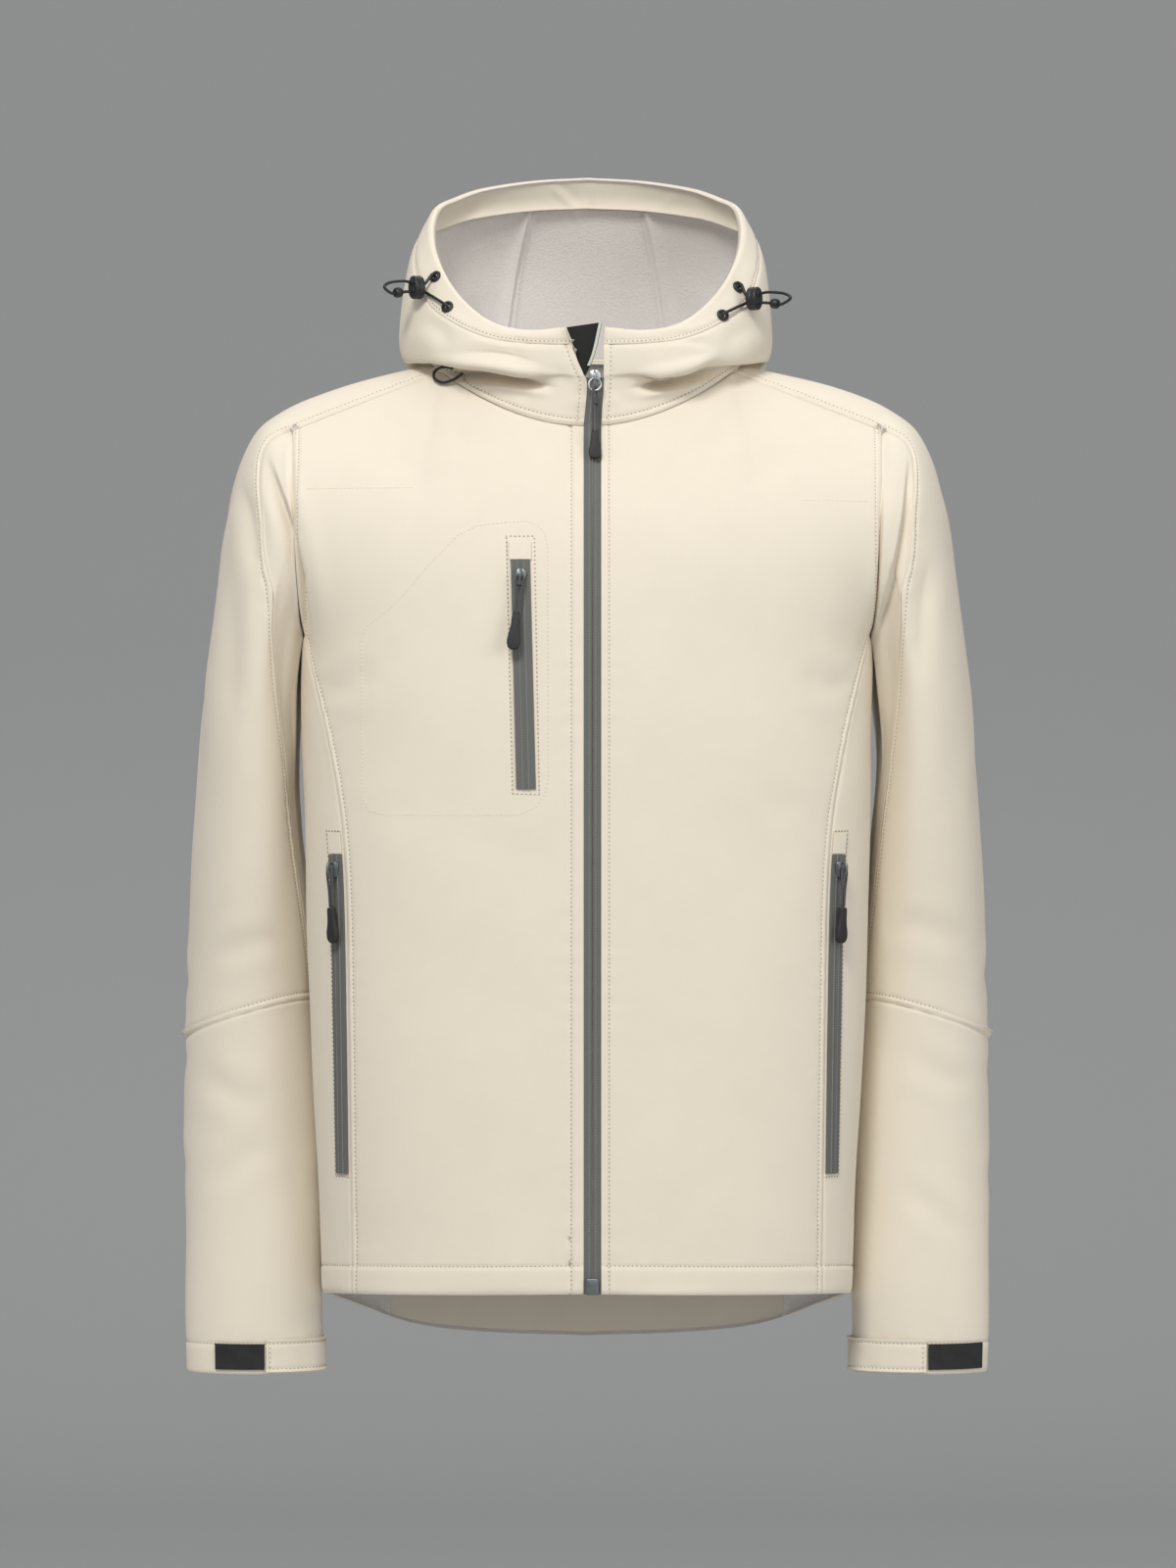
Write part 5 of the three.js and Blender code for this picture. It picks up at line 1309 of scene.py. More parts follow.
@lru_cache(maxsize=None)
def drawcord_places(side):
    """The spots of a side's upper and lower eyelets, its lock and its bead."""
    h = HARDWARE[side]
    upper, lower, middle = (brim_spot(*h[name], side) for name in ("upper", "lower", "lock"))
    aim = Spot(middle.at(0, 0, LOCK["off"]), vec(side * 0.86, -0.5, 0), vec(side * 0.1, 0, 1))
    a, d = LOCK["apart"], LOCK["depth"]
    at = aim.at(0, -a - 1.2, d / 2 + h["reach"] * 0.55)
    bead = Spot(at, aim.out - aim.up * 0.14, aim.up)
    return upper, lower, aim, bead


def drawcord_route(side):
    """The drawcord from the upper eyelet through the lock, round its loop and back to the lower one."""
    upper, lower, aim, bead = drawcord_places(side)
    a, d, reach, long = LOCK["apart"], LOCK["depth"], HARDWARE[side]["reach"], BEAD_LENGTH
    return [
        upper.at(0, 0, 0.4), upper.at(0, 0, 4), aim.at(0, a, -d / 2 - 3), aim.at(0, a, -d / 2),
        aim.at(0, a, d / 2), aim.at(0, a + 1, d / 2 + reach * 0.3),
        aim.at(0, a - 0.5, d / 2 + reach * 0.85), aim.at(0, -1, d / 2 + reach * 1.08),
        bead.at(0, 0, long * 0.9), bead.at(), bead.at(0, 0, -long * 0.9),
        aim.at(0, -a, d / 2), aim.at(0, -a, -d / 2), aim.at(0, -a, -d / 2 - 3),
        lower.at(0, 0, 4), lower.at(0, 0, 0.4),
    ]


LOOP_ROUTE = [(-90, -56.2, -1.5), (-97, -53, -6), (-105, -46.5, -7.5), (-111, -41.5, -4),
              (-110.5, -39.5, 1.5), (-104, -46, 4), (-97, -52.2, 2.2)]


def cord_object(name, route, material):
    """A cord as one curve through its route, with its length in metres."""
    line = refine(np.asarray(route, float)[None], 5, 1)[0] * MM
    curve = bpy.data.curves.new(name, "CURVE")
    curve.dimensions = "3D"
    curve.bevel_depth = CORD_RADIUS * MM
    curve.bevel_resolution = 3
    curve.use_fill_caps = True
    spline = curve.splines.new("POLY")
    spline.points.add(len(line) - 1)
    spline.points.foreach_set("co", np.concatenate((line, np.ones((len(line), 1))), 1).ravel())
    spline.use_smooth = True
    curve.materials.append(material)
    made = bpy.data.objects.new(name, curve)
    bpy.context.scene.collection.objects.link(made)
    return made, float(np.linalg.norm(np.diff(line, axis=0), axis=1).sum())


def add_eyelet(node, name, spot):
    """A turned eyelet, pressed into the brim."""
    made = turned(name, spot.moved(0, 0, 0.25), EYELET, MATERIALS["black_plastic"], capped=False)
    dressed(made, "trim_plastic", node)


def cord_lock(name, aim):
    """A rounded barrel across the cords, with a cord hole on each side."""
    w, h, d = LOCK["width"] / 2, LOCK["height"] / 2, LOCK["depth"] / 2
    angles = np.linspace(0, 2 * math.pi, 40, endpoint=False)
    rings = []
    for share, out in BARREL:
        ring = (w * share * np.cos(angles), h * share * np.sin(angles), np.full(40, out * d))
        rings.append(aim.place(np.stack(ring, -1)))
    pieces = [rings_object(name, rings, MATERIALS["black_plastic"])]
    for end in (-1, 1):
        rim = aim.moved(0, end * LOCK["apart"], d)
        pieces.append(turned(f"{name}_rim{end + 1}", rim, HOLE_RIM, MATERIALS["black_plastic"], capped=False))
    return joined_pieces(name, pieces)


def joined_pieces(name, pieces):
    """Several meshes made one piece."""
    with bpy.context.temp_override(active_object=pieces[0], selected_editable_objects=pieces):
        bpy.ops.object.join()
    pieces[0].name = name
    return pieces[0]


def add_cords():
    for side, tag in SIDES:
        upper, lower, aim, bead = drawcord_places(side)
        route = drawcord_route(side)
        cord, length = cord_object("drawcord_line" + tag, route, MATERIALS["black_plastic"])
        dressed(cord, "black_fabric", "drawcord" + tag)
        add_eyelet("eyelet_upper" + tag, "eyelet_upper_ring" + tag, upper)
        add_eyelet("eyelet_lower" + tag, "eyelet_lower_ring" + tag, lower)
        lock = cord_lock(f"cord_lock{tag}_shell", aim)
        dressed(lock, "trim_plastic", "cord_lock" + tag)
        stop = turned("cord_bead_ball" + tag, bead, BEAD, MATERIALS["black_plastic"], capped=False)
        dressed(stop, "trim_plastic", "cord_bead" + tag)
        tuple(route[0] * MM)
    loop, length = cord_object("hood_loop_line", LOOP_ROUTE, MATERIALS["black_plastic"])
    dressed(loop, "black_fabric", "hood_loop")


# Cloth pieces

# Rectangles that hold the cut of pieces whose widest and longest lines don't cross squarely, in metres
CUT_SIZES = {"sleeve_under": (0.25, 0.30)}


def add_cloth(nodes, inside="fleece"):
    for node in nodes:
        panel = PANELS[node]
        made = panel_object(node + "_cloth", panel, MATERIALS["softshell"], MATERIALS[inside])
        dressed(made, "softshell", node)
        flat = CUT_SIZES.get(node[:-2], (panel.width * MM, panel.length * MM))
        # a piece cut in a bow fills less of the rectangle over its longest lines than a sheet may
        flat = (min(flat[0], 3 * panel.area * MM * MM / flat[1]), flat[1])
        min(panel.area * MM * MM, flat[0] * flat[1])


def both(*names):
    return [name + tag for name in names for _, tag in SIDES]


# Length and radius of a needle's hole, a dark dot of painted shade,
# and spacing, length and radius of the rows that aren't topstitching
PAINTED_HOLE_SHADE = (1.1, 0.62)
FAINT_STITCH = (3.0, 1.8, 0.5)
ZIP_TEETH_STITCH = (1.8, 1.2, 0.4)
# Rows end this far from the corners of a panel
SHORT_OF_CORNER = 2.5
# The rows that hold a zip's teeth run this far from the line where its halves meet
TEETH_ROW = 2.3
# Rows of stitches on the chest as x, z: the zip's box and the faint outline of the pocket's bag
CHEST_LINES = (
    ((-57.5, -122), (-53, -306), (-34, -306.5), (-37.5, -122), (-57.5, -122)),
    ((-58, -112), (-44, -111), (-35, -114), (-30, -120), (-28, -130), (-27.5, -295), (-30, -306),
     (-36, -315), (-48, -321), (-148, -321), (-156, -318), (-161, -309), (-162, -196), (-158, -186),
     (-136, -169), (-112, -141), (-92, -121), (-78, -114), (-58, -112)),
    ((-201, -86), (-126, -86)),
)
LEFT_CHEST_LINE = ((155, -95), (201, -95))


def travelled(line):
    """How far along a line each of its points lies."""
    return np.concatenate(((0.0,), np.cumsum(np.linalg.norm(np.diff(line, axis=0), axis=1))))


def started_later(line, by):
    """The line without its first few millimetres."""
    along = travelled(line)
    start = np.array([np.interp(by, along, line[:, k]) for k in range(3)])
    return np.concatenate((start[None], line[along > by]))


def sewn(name, lines):
    """Rows of stitches, with dark dots of painted shade for the needle's holes between them."""
    sizes = bpy.context.scene.jacket
    spacing, length, radius = (round(size / MM, 4) for size in (sizes.stitch_spacing, sizes.stitch_length,
                                                                sizes.thread_radius))
    stitched(name, lines, MATERIALS["thread"], (spacing, length, radius))
    between = [started_later(line, spacing / 2) for line in lines]
    # Dark dots of painted shade in the needle's holes, halfway between the stitches
    stitched(name + "_hole_shade", between, MATERIALS["painted_hole_shade"], (spacing, *PAINTED_HOLE_SHADE))


def add_stitches(name, nodes):
    """The rows of stitches along the panels' edges, which stop short of their corners."""
    lines = [PANELS[node].line(*row) for node in nodes for row in PANELS[node].stitched]
    for _ in range(2):
        lines = [started_later(line, SHORT_OF_CORNER)[::-1] for line in lines]
    sewn(name, lines)


def zip_rows(node, centre):
    """The rows of stitches that hold a zip's teeth, either side of the line where its halves meet."""
    panel = PANELS[node]
    middle = panel.across[len(panel.across) // 2]
    rows = []
    for shift in (-TEETH_ROW, TEETH_ROW):
        at = centre * middle[-1] + shift
        if 0 < at < middle[-1]:
            rows.append(panel.outer[:, int(np.argmin(np.abs(middle - at)))])
    return rows


def on_front(route, node):
    """Points of a route of (x, z) laid on a front panel's cloth."""
    panel = PANELS[node]
    flat = panel.outer.reshape(-1, 3)
    rows, cols = panel.outer.shape[:2]
    index = np.arange(rows * cols).reshape(rows, cols)
    faces = [face for i in range(rows - 1) for face in quads(index[i], index[i + 1])]
    tree = BVHTree.FromPolygons(flat.tolist(), faces)
    corners = np.array(route, float)
    along = travelled(corners)
    at = np.linspace(0, along[-1], int(along[-1]))
    line = np.stack([np.interp(at, along, corners[:, k]) for k in range(2)], -1)
    before = -400
    hits = [tree.ray_cast(Vector((x, before, z)), Vector((0, 1, 0)))[0] for x, z in line]
    return np.array([tuple(hit) for hit in hits if hit is not None])


def pocket_rows(side):
    """The row of stitches over, beside and under a pocket zip, which ends at the princess seam."""
    tall = POCKET_ZIP["top"] - POCKET_ZIP["bottom"]
    top, bottom, far = 1 + (POCKET_ZIP["garage"] + 2.2) / tall, -2.4 / tall, 1.16
    route = [(top, 0.05)] + [(lerp(top, bottom, k / 40), far) for k in range(41)] + [(bottom, 0.05)]
    return np.array([pocket_spot(up, across, side).at(0, 0, 0.15) for up, across in route])


# Zips and their pulls

# EYE_LIFT is how far the slider's eye stands off its plate. CHEST_ZIP's ends are x, z.
EYE_LIFT = 5.4
PULL_RADIUS, WRAP_RADIUS, BRIDGE_RADIUS = 0.9, 2.1, 0.95
CHEST_ZIP = {"top": (-47.5, -139.5), "bottom": (-43.4, -302.5), "width": 13.8}
POCKET_ZIP = {"behind": 1.5, "width": 13, "top": -350, "bottom": -579, "garage": 15}
MAIN_ZIP = {"ring": 4.4, "wire": 0.8, "cord": 30, "tab_width": 9.5, "tab_length": 20, "lean": 0.16}
PULL = {"cord": 27, "tab_width": 10, "tab_length": 26}
CHIN = Columns("""
up  left right z
0   -5   -1.2  -5
0.4 -11  5.4   9
1   -17  11    32
""")


def zip_line(share, row):
    """The line between the fronts, at a share across their gap and a row up the body and collar."""
    def at(side):
        if row <= TOP:
            return mirror(front_point(0, row, side), side)
        line = float(np.interp(row - TOP, (0, 1, 2, 3), (0, 0.4, 0.9, 1.5)))
        return mirror(hood_point(hood_angle(0, side), line, side), side)
    return lerp(at(-1), at(1), share)


def chest_spot(up, across, wide):
    """The spot at a share up and across the chest zip, for a piece this wide."""
    (top_x, top_z), (bottom_x, bottom_z) = CHEST_ZIP["top"], CHEST_ZIP["bottom"]
    return front_spot(lerp(bottom_x, top_x, up) + (across - 0.5) * wide, lerp(bottom_z, top_z, up), -1)


def pocket_spot(up, across, side):
    """The spot at a share up and across a pocket zip."""
    z = POCKET_ZIP
    return side_spot(z["behind"] + across * z["width"], lerp(z["bottom"], z["top"], up), side)


def tape_form(centre):
    """A tape's form: raised over the closed teeth, with a fine groove where its halves meet."""
    high, half, slope, deep, narrow = 0.5, 3.0, 1.2, 0.55, 0.4

    def form(across, width):
        gap = np.abs(across - centre * width)
        return high * smooth((half - gap) / slope) - deep * np.exp(-(gap / narrow) ** 2)
    return form


def patch_panel(spot, rows, step, form=None):
    """A tape or patch over a grid of spots, lifted off the cloth."""
    grid = grid_of(rows, 4, lambda i, j: spot(i / rows, j / 4).p)
    return Panel(grid, spot(0.5, 0.5).at(0, 0, -60), (TAPE_EDGE,) * 4, step, thick=TAPE, lift=1.5, calm=0,
                 joined=(), form=form)


def plain_piece(node, panel, material, slot, suffix="_cloth"):
    """A panel's piece in one material on both faces."""
    made = panel_object(node + suffix, panel, MATERIALS[material], MATERIALS[material])
    return dressed(made, slot, node)


def cloth_patch(node, panel, material, slot):
    """A small flat piece that is cut from sheet and lies on the jacket."""
    made = plain_piece(node, panel, material, slot)
    flat = (panel.width * MM, panel.length * MM)
    min(panel.area * MM * MM, flat[0] * flat[1])
    return made


def outline(points, count=44):
    """Evenly spaced points round a closed outline."""
    loop = np.array(list(points) + [points[0]], float)
    along = travelled(loop)
    at = np.linspace(0, along[-1], count, endpoint=False)
    return np.stack([np.interp(at, along, loop[:, k]) for k in range(2)], -1)


def mirrored(right):
    """A closed outline from its right half."""
    return outline(right + [(-x, y) for x, y in reversed(right)])


def pressed(name, spot, shape, levels, material):
    """A flat piece with soft edges. levels hold heights and how far the outline draws in there."""
    middle = shape.mean(0)
    radius = np.linalg.norm(shape - middle, axis=1, keepdims=True)
    rings = []
    for height, inset in levels:
        drawn = middle + (shape - middle) * (1 - inset / radius)
        rings.append(spot.place(np.concatenate((drawn, np.full((len(drawn), 1), height)), 1)))
    return rings_object(name, rings, material)


def add_slider(node, spot, width, length, metal):
    """A slider: a double plate, and a bridge over it that holds the pull."""
    w, l = width, length
    right = [(0, -l / 2), (w * 0.28, -l / 2), (w * 0.35, -l * 0.36), (w / 2, l * 0.08), (w / 2, l * 0.32),
             (w * 0.42, l * 0.44), (w * 0.25, l / 2), (0, l / 2)]
    levels = ((0, 0.4), (0.3, 0), (1.1, 0), (1.35, 0.45), (1.85, 0.45), (2.1, 0), (2.9, 0.1),
              (3.2, 0.6))
    plate = pressed(node + "_metal", spot, mirrored(right), levels, MATERIALS[metal])
    arch = ((-l * 0.36, 2.6), (-l * 0.37, 4.6), (-l * 0.26, 6.4), (0, 7.5), (l * 0.24, 7.3),
            (l * 0.38, 5.4), (l * 0.38, 2.6))
    bridge = tube(node + "_bridge", [spot.at(0, y, z) for y, z in arch], BRIDGE_RADIUS, MATERIALS[metal])
    joined_pieces(node + "_metal", [plate, bridge])
    return dressed(plate, metal, node)


def add_tab(node, spot, width, length, rides):
    """The moulded tab: a flat drop with its narrow end up and soft edges."""
    w, l = width, length
    right = [(0, 0), (w * 0.26, 0), (w * 0.29, -l * 0.05), (w * 0.31, -l * 0.3), (w * 0.4, -l * 0.52),
             (w * 0.48, -l * 0.7), (w * 0.47, -l * 0.84), (w * 0.36, -l * 0.95), (w * 0.16, -l * 0.995),
             (0, -l)]
    levels = ((-2, 1.3), (-1.85, 0.6), (-1.3, 0.1), (-0.5, 0), (0.5, 0), (1.3, 0.1), (1.85, 0.6), (2, 1.3))
    made = pressed(node + "_rubber", spot, mirrored(right), levels, MATERIALS["black_rubber"])
    return dressed(made, "trim_plastic", node, rides=rides)


def add_pull_cord(node, spot, top, length, over_wire, rides):
    """The grey cord of a pull: two strands from the tab up over the eye or the ring's wire."""
    spread, deep = (0.4, 2.4) if over_wire else (1.5, 0.1)
    z, turn = EYE_LIFT, top + (2 if over_wire else 0)
    lead, peak = top * 0.4 - length * 0.6, top + (2.9 if over_wire else 0.1)
    route = [(-1.4, -length, z), (-1.5, lead, z + deep / 2), (-spread - 1, top - 3, z + deep),
             (-spread, turn, z + deep * 0.6), (0, peak, z), (spread, turn, z - deep * 0.6),
             (spread + 1, top - 3, z - deep), (1.5, lead, z - deep / 2), (1.4, -length, z)]
    made = tube(node + "_strands", spot.place(route), PULL_RADIUS, MATERIALS["pull_cord"])
    knot_at = top - (10 if over_wire else 6.5)
    wrap = [spot.at(0, knot_at + k, z) for k in (0, 1.1, 2.2, 3.3)]
    made = joined_pieces(made.name, [made, tube(node + "_wrap", wrap, WRAP_RADIUS, MATERIALS["pull_cord"])])
    return dressed(made, "pull_cord", node, rides=rides)


def add_main_tapes():
    rows = TOP + 3
    for tag, first, centre in (("_r", 0.0, 1), ("_l", 0.51, 0)):
        grid = grid_of(rows * 2, 4, lambda i, j: zip_line(first + 0.49 * j / 4, i / 2))
        panel = Panel(grid, vec(0, 200, -330), (TAPE_EDGE,) * 4, (4.5, 0.6), thick=TAPE, lift=-0.3, calm=0,
                      joined=(), form=tape_form(centre))
        PANELS["zip_tape" + tag] = panel
        plain_piece("zip_tape" + tag, panel, "zip_tape", "zip_tape", "_woven")


def add_main_pull():
    """The steel slider with its ring, cord and tab; the ring, cord and tab ride one body together."""
    top, below = zip_line(0.5, TOP + 3), zip_line(0.5, TOP + 2)
    spot = Spot(lerp(top, below, 0.1), (0, -1, 0), top - below)
    add_slider("zip_slider", spot.moved(0, 0, 0.3), 8.5, 13, "steel")
    lean, ring, wire = MAIN_ZIP["lean"], MAIN_ZIP["ring"], MAIN_ZIP["wire"]
    hang = Spot(spot.at(0, 0, EYE_LIFT + 0.3), (0, -1, lean), (0, lean, 1)).moved(0, 0, -EYE_LIFT)
    around = [(ring + wire * math.cos(a), wire * math.sin(a)) for a in np.linspace(0, 2 * math.pi, 14)[:-1]]
    loop = turned("zip_ring_wire", hang.moved(0, -ring, EYE_LIFT), around, MATERIALS["steel"], False, 40)
    dressed(loop, "steel", "zip_ring", rides="main_pull")
    length = MAIN_ZIP["cord"] + 2 * ring
    add_pull_cord("zip_cord", hang, -2 * ring, length, True, "main_pull")
    add_tab("zip_tab", hang.moved(0, -length - 0.3, EYE_LIFT), MAIN_ZIP["tab_width"],
            MAIN_ZIP["tab_length"], "main_pull")


def add_zip_box():
    """The metal box that the left half of the main zip goes into."""
    foot = Spot(lerp(zip_line(0.5, 0), zip_line(0.5, 1), 0.42), (0, -1, 0), (0, 0, 1))
    corner = [(0, -6), (3.6, -6), (4.5, -5.1), (4.5, 5.1), (3.6, 6), (0, 6)]
    levels = ((0, 0.2), (0.4, 0), (3.2, 0), (3.7, 0.3), (4, 0.9))
    box = pressed("zip_box_metal", foot, mirrored(corner), levels, MATERIALS["gunmetal"])
    dressed(box, "gunmetal", "zip_box")


def add_small_zip(kind, tag, tape_at, garage_at, slider_spot):
    """A zip in the cloth, with the garage patch over its top, its slider, cord and tab."""
    tape = patch_panel(tape_at, 24, (4, 0.6), tape_form(0.5))
    PANELS[f"{kind}_zip_tape{tag}"] = tape
    plain_piece(f"{kind}_zip_tape{tag}", tape, "zip_tape", "zip_tape", "_woven")
    cloth_patch(f"{kind}_garage{tag}", patch_panel(garage_at, 4, 1.5), "softshell", "softshell")
    spot = slider_spot.moved(0, 0, TAPE + 0.6)
    rides = f"{kind}_pull{tag}"
    add_slider(f"{kind}_slider{tag}", spot, 8, 12, "gunmetal")
    add_pull_cord(f"{kind}_cord{tag}", spot, 0, PULL["cord"], False, rides)
    add_tab(f"{kind}_tab{tag}", spot.moved(0, -PULL["cord"] - 0.3, EYE_LIFT), PULL["tab_width"],
            PULL["tab_length"], rides)


def add_small_zips():
    wide = CHEST_ZIP["width"]
    add_small_zip("chest", "", lambda up, across: chest_spot(up, across, wide),
                  lambda up, across: chest_spot(1.004 + up * 0.078, across, wide + 2),
                  chest_spot(0.925, 0.5, 0))
    share = POCKET_ZIP["garage"] / (POCKET_ZIP["top"] - POCKET_ZIP["bottom"])
    for side, tag in SIDES:
        add_small_zip("pocket", tag, lambda up, across: pocket_spot(up, across, side),
                      lambda up, across: pocket_spot(1.003 + up * share, across, side),
                      pocket_spot(0.955, 0.5, side))


def add_chin_guard():
    guard_y, binding_y = -77.2, -78.3

    def at(up, across, y):
        x = lerp(CHIN.left(up), CHIN.right(up), across)
        return vec(x, y, CHIN.z(up) + up * (4 * across - 2.2))
    guard = Panel(grid_of(8, 8, lambda i, j: at(i / 8, j / 8, guard_y)), vec(0, 0, 10), (TAPE_EDGE,) * 4,
                  1.6, thick=TAPE, calm=0, joined=())
    cloth_patch("chin_guard", guard, "black_fabric", "black_fabric")
    strand = grid_of(12, 3, lambda i, j: at(0.2 + i / 15, 1, binding_y) + vec(j * 2.2 / 3 - 2.4, 0, 0))

    def roll(across, width):
        return 0.35 * np.sqrt(np.maximum(0, 1 - (2 * across / width - 1) ** 2)) - 0.2
    fine = (0, 0.2, 0.5)
    edge = Panel(strand, vec(0, 0, 10), (fine, fine, TAPE_EDGE, TAPE_EDGE), (2, 0.3), thick=TAPE,
                 lift=TAPE - 0.3, calm=0, joined=(), form=roll)
    plain_piece("chin_binding", edge, "binding", "binding")


# Cuffs: where the straps and their patches run round the sleeve's end, as angles
CUFFS = {"_r": {"strap": (101, 236), "patch": (57, 99.5)}, "_l": {"strap": (85.5, 236), "patch": (28, 84)}}
STRAP_EDGE = (0, 0.4, 1.0, 1.8, 2.6, 3.4)
STRAP_STITCH = 2.6


def sleeve_band(side, angles, heights, lift, thick, step, stitched=()):
    """A band that lies round the sleeve's end between two angles and two heights."""
    def point(i, j):
        z = lerp(*heights, i / 4)
        angle = lerp(*reversed(angles), j / 24)
        return mirror(section_point(angle, lerp(18, 17, (731 + z) / 81)), side)
    return Panel(grid_of(4, 24, point), vec(245 * side, 10, -715), (STRAP_EDGE,) * 4, step, thick=thick,
                 lift=lift, calm=0, joined=(), stitched=stitched)


def add_cuffs():
    around = tuple((edge, STRAP_STITCH) for edge in EDGES)
    for side, tag in SIDES:
        strap = sleeve_band(side, CUFFS[tag]["strap"], (-729, -705), 2.7, CLOTH, (2.4, 3), around)
        PANELS["cuff_strap" + tag] = strap
        cloth_patch("cuff_strap" + tag, strap, "softshell", "softshell")
        patch = sleeve_band(side, CUFFS[tag]["patch"], (-727, -708), 2.1, TAPE, 1.6)
        cloth_patch("cuff_patch" + tag, patch, "loop_pile", "black_fabric")


# The add-on: sizes and colours, steps and the panel that lists them

def colour(name, description, default):
    return bpy.props.FloatVectorProperty(
        name=name, description=description, default=(*default, 1.0), size=4, min=0.0, max=1.0,
        subtype="COLOR")


def size(name, description, default):
    return bpy.props.FloatProperty(name=name, description=description, default=default, unit="LENGTH")


class Jacket(bpy.types.PropertyGroup):
    """Sizes and colours of the jacket's cloth, stitches and stage"""

    cloth_light: colour("Cloth, light", "Lighter tint of the cloth's face", (0.815, 0.74, 0.61))
    cloth_dark: colour("Cloth, dark", "Darker tint of the cloth's face", (0.775, 0.70, 0.575))
    fleece_light: colour("Fleece, light", "Lighter tint of the fleece", (0.82, 0.78, 0.74))
    fleece_dark: colour("Fleece, dark", "Darker tint of the fleece", (0.75, 0.71, 0.67))
    tape_light: colour("Zip tape, light", "Lighter threads of the zips' tapes", (0.19, 0.192, 0.178))
    tape_dark: colour("Zip tape, dark", "Darker threads of the zips' tapes", (0.105, 0.107, 0.10))
    stitch_spacing: size("Stitch spacing", "From one stitch to the next", 0.0031)
    stitch_length: size("Stitch length", "Length of a stitch that shows", 0.0021)
    thread_radius: size("Thread radius", "Half the thread's thickness", 0.0005)
    camera_distance: size("Camera distance", "From the camera to the middle of the jacket", 4.0)
    camera_height: size("Camera height", "Height of the camera over the neck's middle", -0.299)
    focal_length: bpy.props.FloatProperty(
        name="Focal length", description="Of the camera, in millimetres on a 36 mm high sensor",
        default=125.0)
    floor_height: size("Floor height", "Height of the floor under the neck's middle", -1.45)


# Each lamp's place and size in metres, its power in watts and its colour
LAMPS = {
    "key": ((-0.7, -2.7, 2.1), 1.0, 73, (1.0, 0.995, 0.985)),
    "fill": ((2.6, -2.8, 0.7), 2.0, 32, (0.99, 0.995, 1.0)),
    "top": ((0.2, 0.9, 2.4), 1.8, 14, (1.0, 1.0, 1.0)),
}
LAMPS_AIM = (0, 0, -0.3)
SKY_COLOUR, SKY_STRENGTH = (0.96, 0.97, 0.98, 1), 0.54
# The floor in metres: its front end, where it bends up and how round, the wall's height, and half the width
# The wall stands further off than the camera, so that it hides the jacket from no side.
FLOOR = {"front": -20.0, "bend": 4.6, "radius": 1.4, "tall": 7.0, "half": 20}
CAMERA_X = 0.0007


class JACKET_OT_stage(bpy.types.Operator):
    """Camera, lights and a plain floor that curves up behind the jacket"""
    bl_idname = "jacket.stage"
    bl_label = "Stage"

    def execute(self, context):
        scene, sizes = context.scene, context.scene.jacket
        camera = bpy.data.cameras.new("camera")
        camera.sensor_fit = "VERTICAL"
        camera.sensor_height = 36
        camera.lens = sizes.focal_length
        holder = bpy.data.objects.new("camera", camera)
        scene.collection.objects.link(holder)
        holder.location = (CAMERA_X, -sizes.camera_distance, sizes.camera_height)
        holder.rotation_euler = (math.radians(90), 0, 0)
        scene.camera = holder
        scene.view_settings.view_transform = "Standard"
        self.add_floor(sizes.floor_height)
        for name, lamp in LAMPS.items():
            self.add_lamp(name, *lamp)
        scene.world = bpy.data.worlds.new("studio")
        scene.world.use_nodes = True
        background = scene.world.node_tree.nodes["Background"]
        background.inputs["Color"].default_value = SKY_COLOUR
        background.inputs["Strength"].default_value = SKY_STRENGTH
        return {"FINISHED"}

    def add_floor(self, height):
        bend, radius = FLOOR["bend"], FLOOR["radius"]
        profile = [(FLOOR["front"], height)]
        for a in np.linspace(0, math.pi / 2, 16):
            profile.append((bend + radius * math.sin(a), height + radius - radius * math.cos(a)))
        profile.append((bend + radius, height + FLOOR["tall"]))
        points = [(x / MM, y / MM, z / MM) for y, z in profile for x in (-FLOOR["half"], FLOOR["half"])]
        faces = [(2 * k, 2 * k + 1, 2 * k + 3, 2 * k + 2) for k in range(len(profile) - 1)]
        floor = mesh_object("floor", points, faces, [MATERIALS["floor"]], merge=False)

    def add_lamp(self, name, place, size, power, tint):
        lamp = bpy.data.lights.new(name, "AREA")
        lamp.shape = "DISK"
        lamp.size, lamp.energy, lamp.color = size, power, tint
        holder = bpy.data.objects.new(name, lamp)
        bpy.context.scene.collection.objects.link(holder)
        holder.location = place
        aim = Vector(LAMPS_AIM) - Vector(place)
        holder.rotation_euler = aim.to_track_quat("-Z", "Y").to_euler()


class JACKET_OT_cords(bpy.types.Operator):
    """Drawcords with their eyelets, locks and beads, and the loop under the hood"""
    bl_idname = "jacket.cords"
    bl_label = "Cords"

    def execute(self, context):
        add_cords()
        return {"FINISHED"}


class JACKET_OT_body(bpy.types.Operator):
    """Fronts, side panels, back and the back hem's facing"""
    bl_idname = "jacket.body"
    bl_label = "Body panels"

    def execute(self, context):
        cut_body()
        add_cloth(both("front", "side") + ["back"])
        add_cloth(["back_hem_facing"], "softshell")
        return {"FINISHED"}


class JACKET_OT_sleeves(bpy.types.Operator):
    """Saddle sleeves, under sleeves and forearms"""
    bl_idname = "jacket.sleeves"
    bl_label = "Sleeves"

    def execute(self, context):
        cut_sleeves()
        add_cloth(both("sleeve_upper", "sleeve_under", "forearm"))
        return {"FINISHED"}


class JACKET_OT_hood(bpy.types.Operator):
    """Hood panels, brim band and its facing"""
    bl_idname = "jacket.hood"
    bl_label = "Hood"

    def execute(self, context):
        cut_hood()
        add_cloth(both("hood_side") + ["hood_center", "hood_brim"])
        add_cloth(["hood_facing"], "softshell")
        return {"FINISHED"}


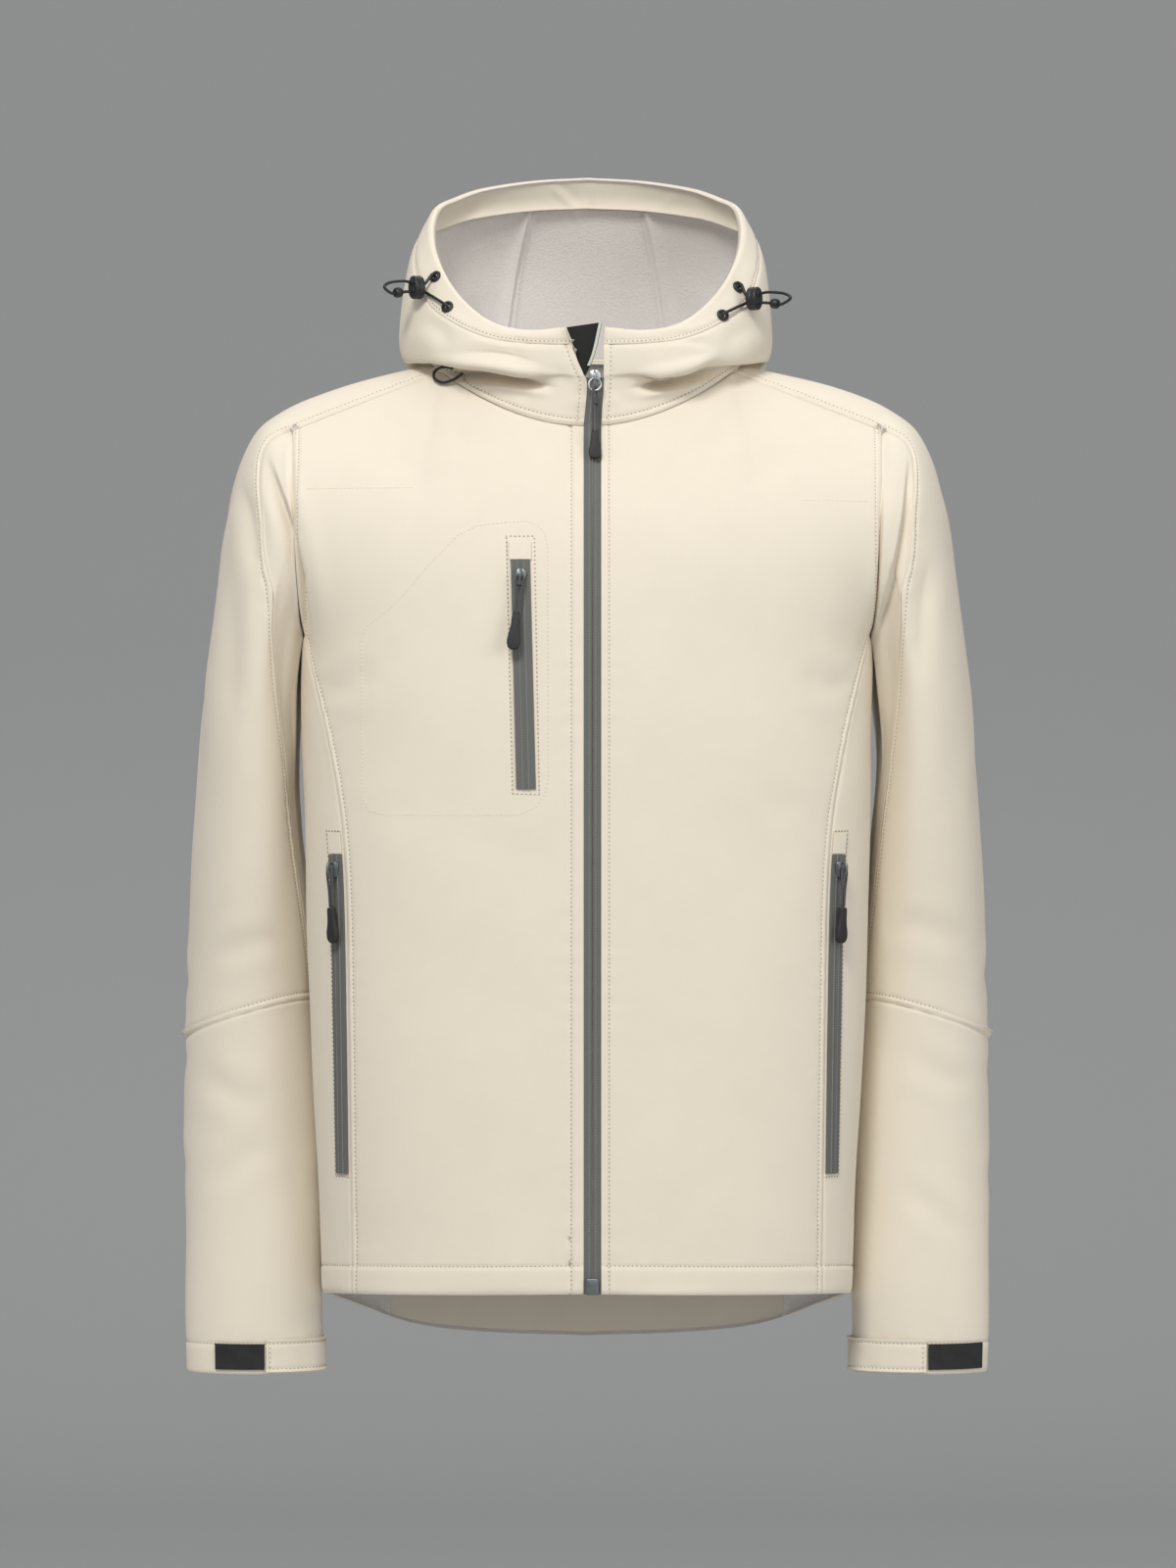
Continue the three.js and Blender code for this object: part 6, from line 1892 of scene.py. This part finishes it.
class JACKET_OT_trims(bpy.types.Operator):
    """Zips with their sliders and pulls, the chin guard, cuff straps and patches"""
    bl_idname = "jacket.trims"
    bl_label = "Trims"

    def execute(self, context):
        add_main_tapes()
        add_main_pull()
        add_zip_box()
        add_small_zips()
        add_chin_guard()
        add_cuffs()
        return {"FINISHED"}


class JACKET_OT_stitches(bpy.types.Operator):
    """Topstitching along the seams, hems and pockets"""
    bl_idname = "jacket.stitches"
    bl_label = "Stitches"

    def execute(self, context):
        add_stitches("stitches_body", both("front", "side") + ["back"])
        add_stitches("stitches_sleeves", both("sleeve_upper", "forearm"))
        add_stitches("stitches_hood", both("hood_side") + ["hood_center", "hood_brim"])
        add_stitches("stitches_cuffs", both("cuff_strap"))
        lines = zip_rows("zip_tape_r", 1) + zip_rows("zip_tape_l", 0)
        for node in both("pocket_zip_tape") + ["chest_zip_tape"]:
            lines += zip_rows(node, 0.5)
        stitched("stitches_zips", lines, MATERIALS["grey_thread"], ZIP_TEETH_STITCH, "zip_tape")
        sewn("stitches_zip_box", [on_front(CHEST_LINES[0], "front_r")])
        faint = [on_front(route, "front_r") for route in CHEST_LINES[1:]]
        faint.append(on_front(LEFT_CHEST_LINE, "front_l"))
        stitched("stitches_pocket", faint, MATERIALS["thread"], FAINT_STITCH)
        sewn("stitches_pocket_zips", [pocket_rows(side) for side, _ in SIDES])
        return {"FINISHED"}


class JACKET_PT_panel(bpy.types.Panel):
    """The jacket's steps in the 3D view's sidebar"""
    bl_idname = "JACKET_PT_panel"
    bl_label = "Softshell jacket"
    bl_space_type = "VIEW_3D"
    bl_region_type = "UI"
    bl_category = "Jacket"

    def draw(self, context):
        for name in Jacket.__annotations__:
            self.layout.prop(context.scene.jacket, name)
        for step in STEPS:
            self.layout.operator(step.bl_idname)


STEPS = (JACKET_OT_stage, JACKET_OT_cords, JACKET_OT_body, JACKET_OT_sleeves, JACKET_OT_hood,
         JACKET_OT_trims, JACKET_OT_stitches)
CLASSES = (Jacket, *STEPS, JACKET_PT_panel)


def register():
    for cls in CLASSES:
        bpy.utils.register_class(cls)
    bpy.types.Scene.jacket = bpy.props.PointerProperty(type=Jacket)


def unregister():
    del bpy.types.Scene.jacket
    for cls in reversed(CLASSES):
        bpy.utils.unregister_class(cls)


def finish_nodes():
    """Gives each CAD node that still shows its own material."""
    for part in frame["record"]["subparts"]:
        slot = part["material_slot"]
        node = frame["nodes"][part["node"]]
        node.data.materials.clear()
        node.data.materials.append(MATERIALS["black_rubber" if slot == "trim_plastic" else slot])


def main():
    register()
    make_materials()
    for step in STEPS:
        group, name = step.bl_idname.split(".")
        getattr(getattr(bpy.ops, group), name)()
    finish_nodes()


if __name__ == "__main__":
    main()
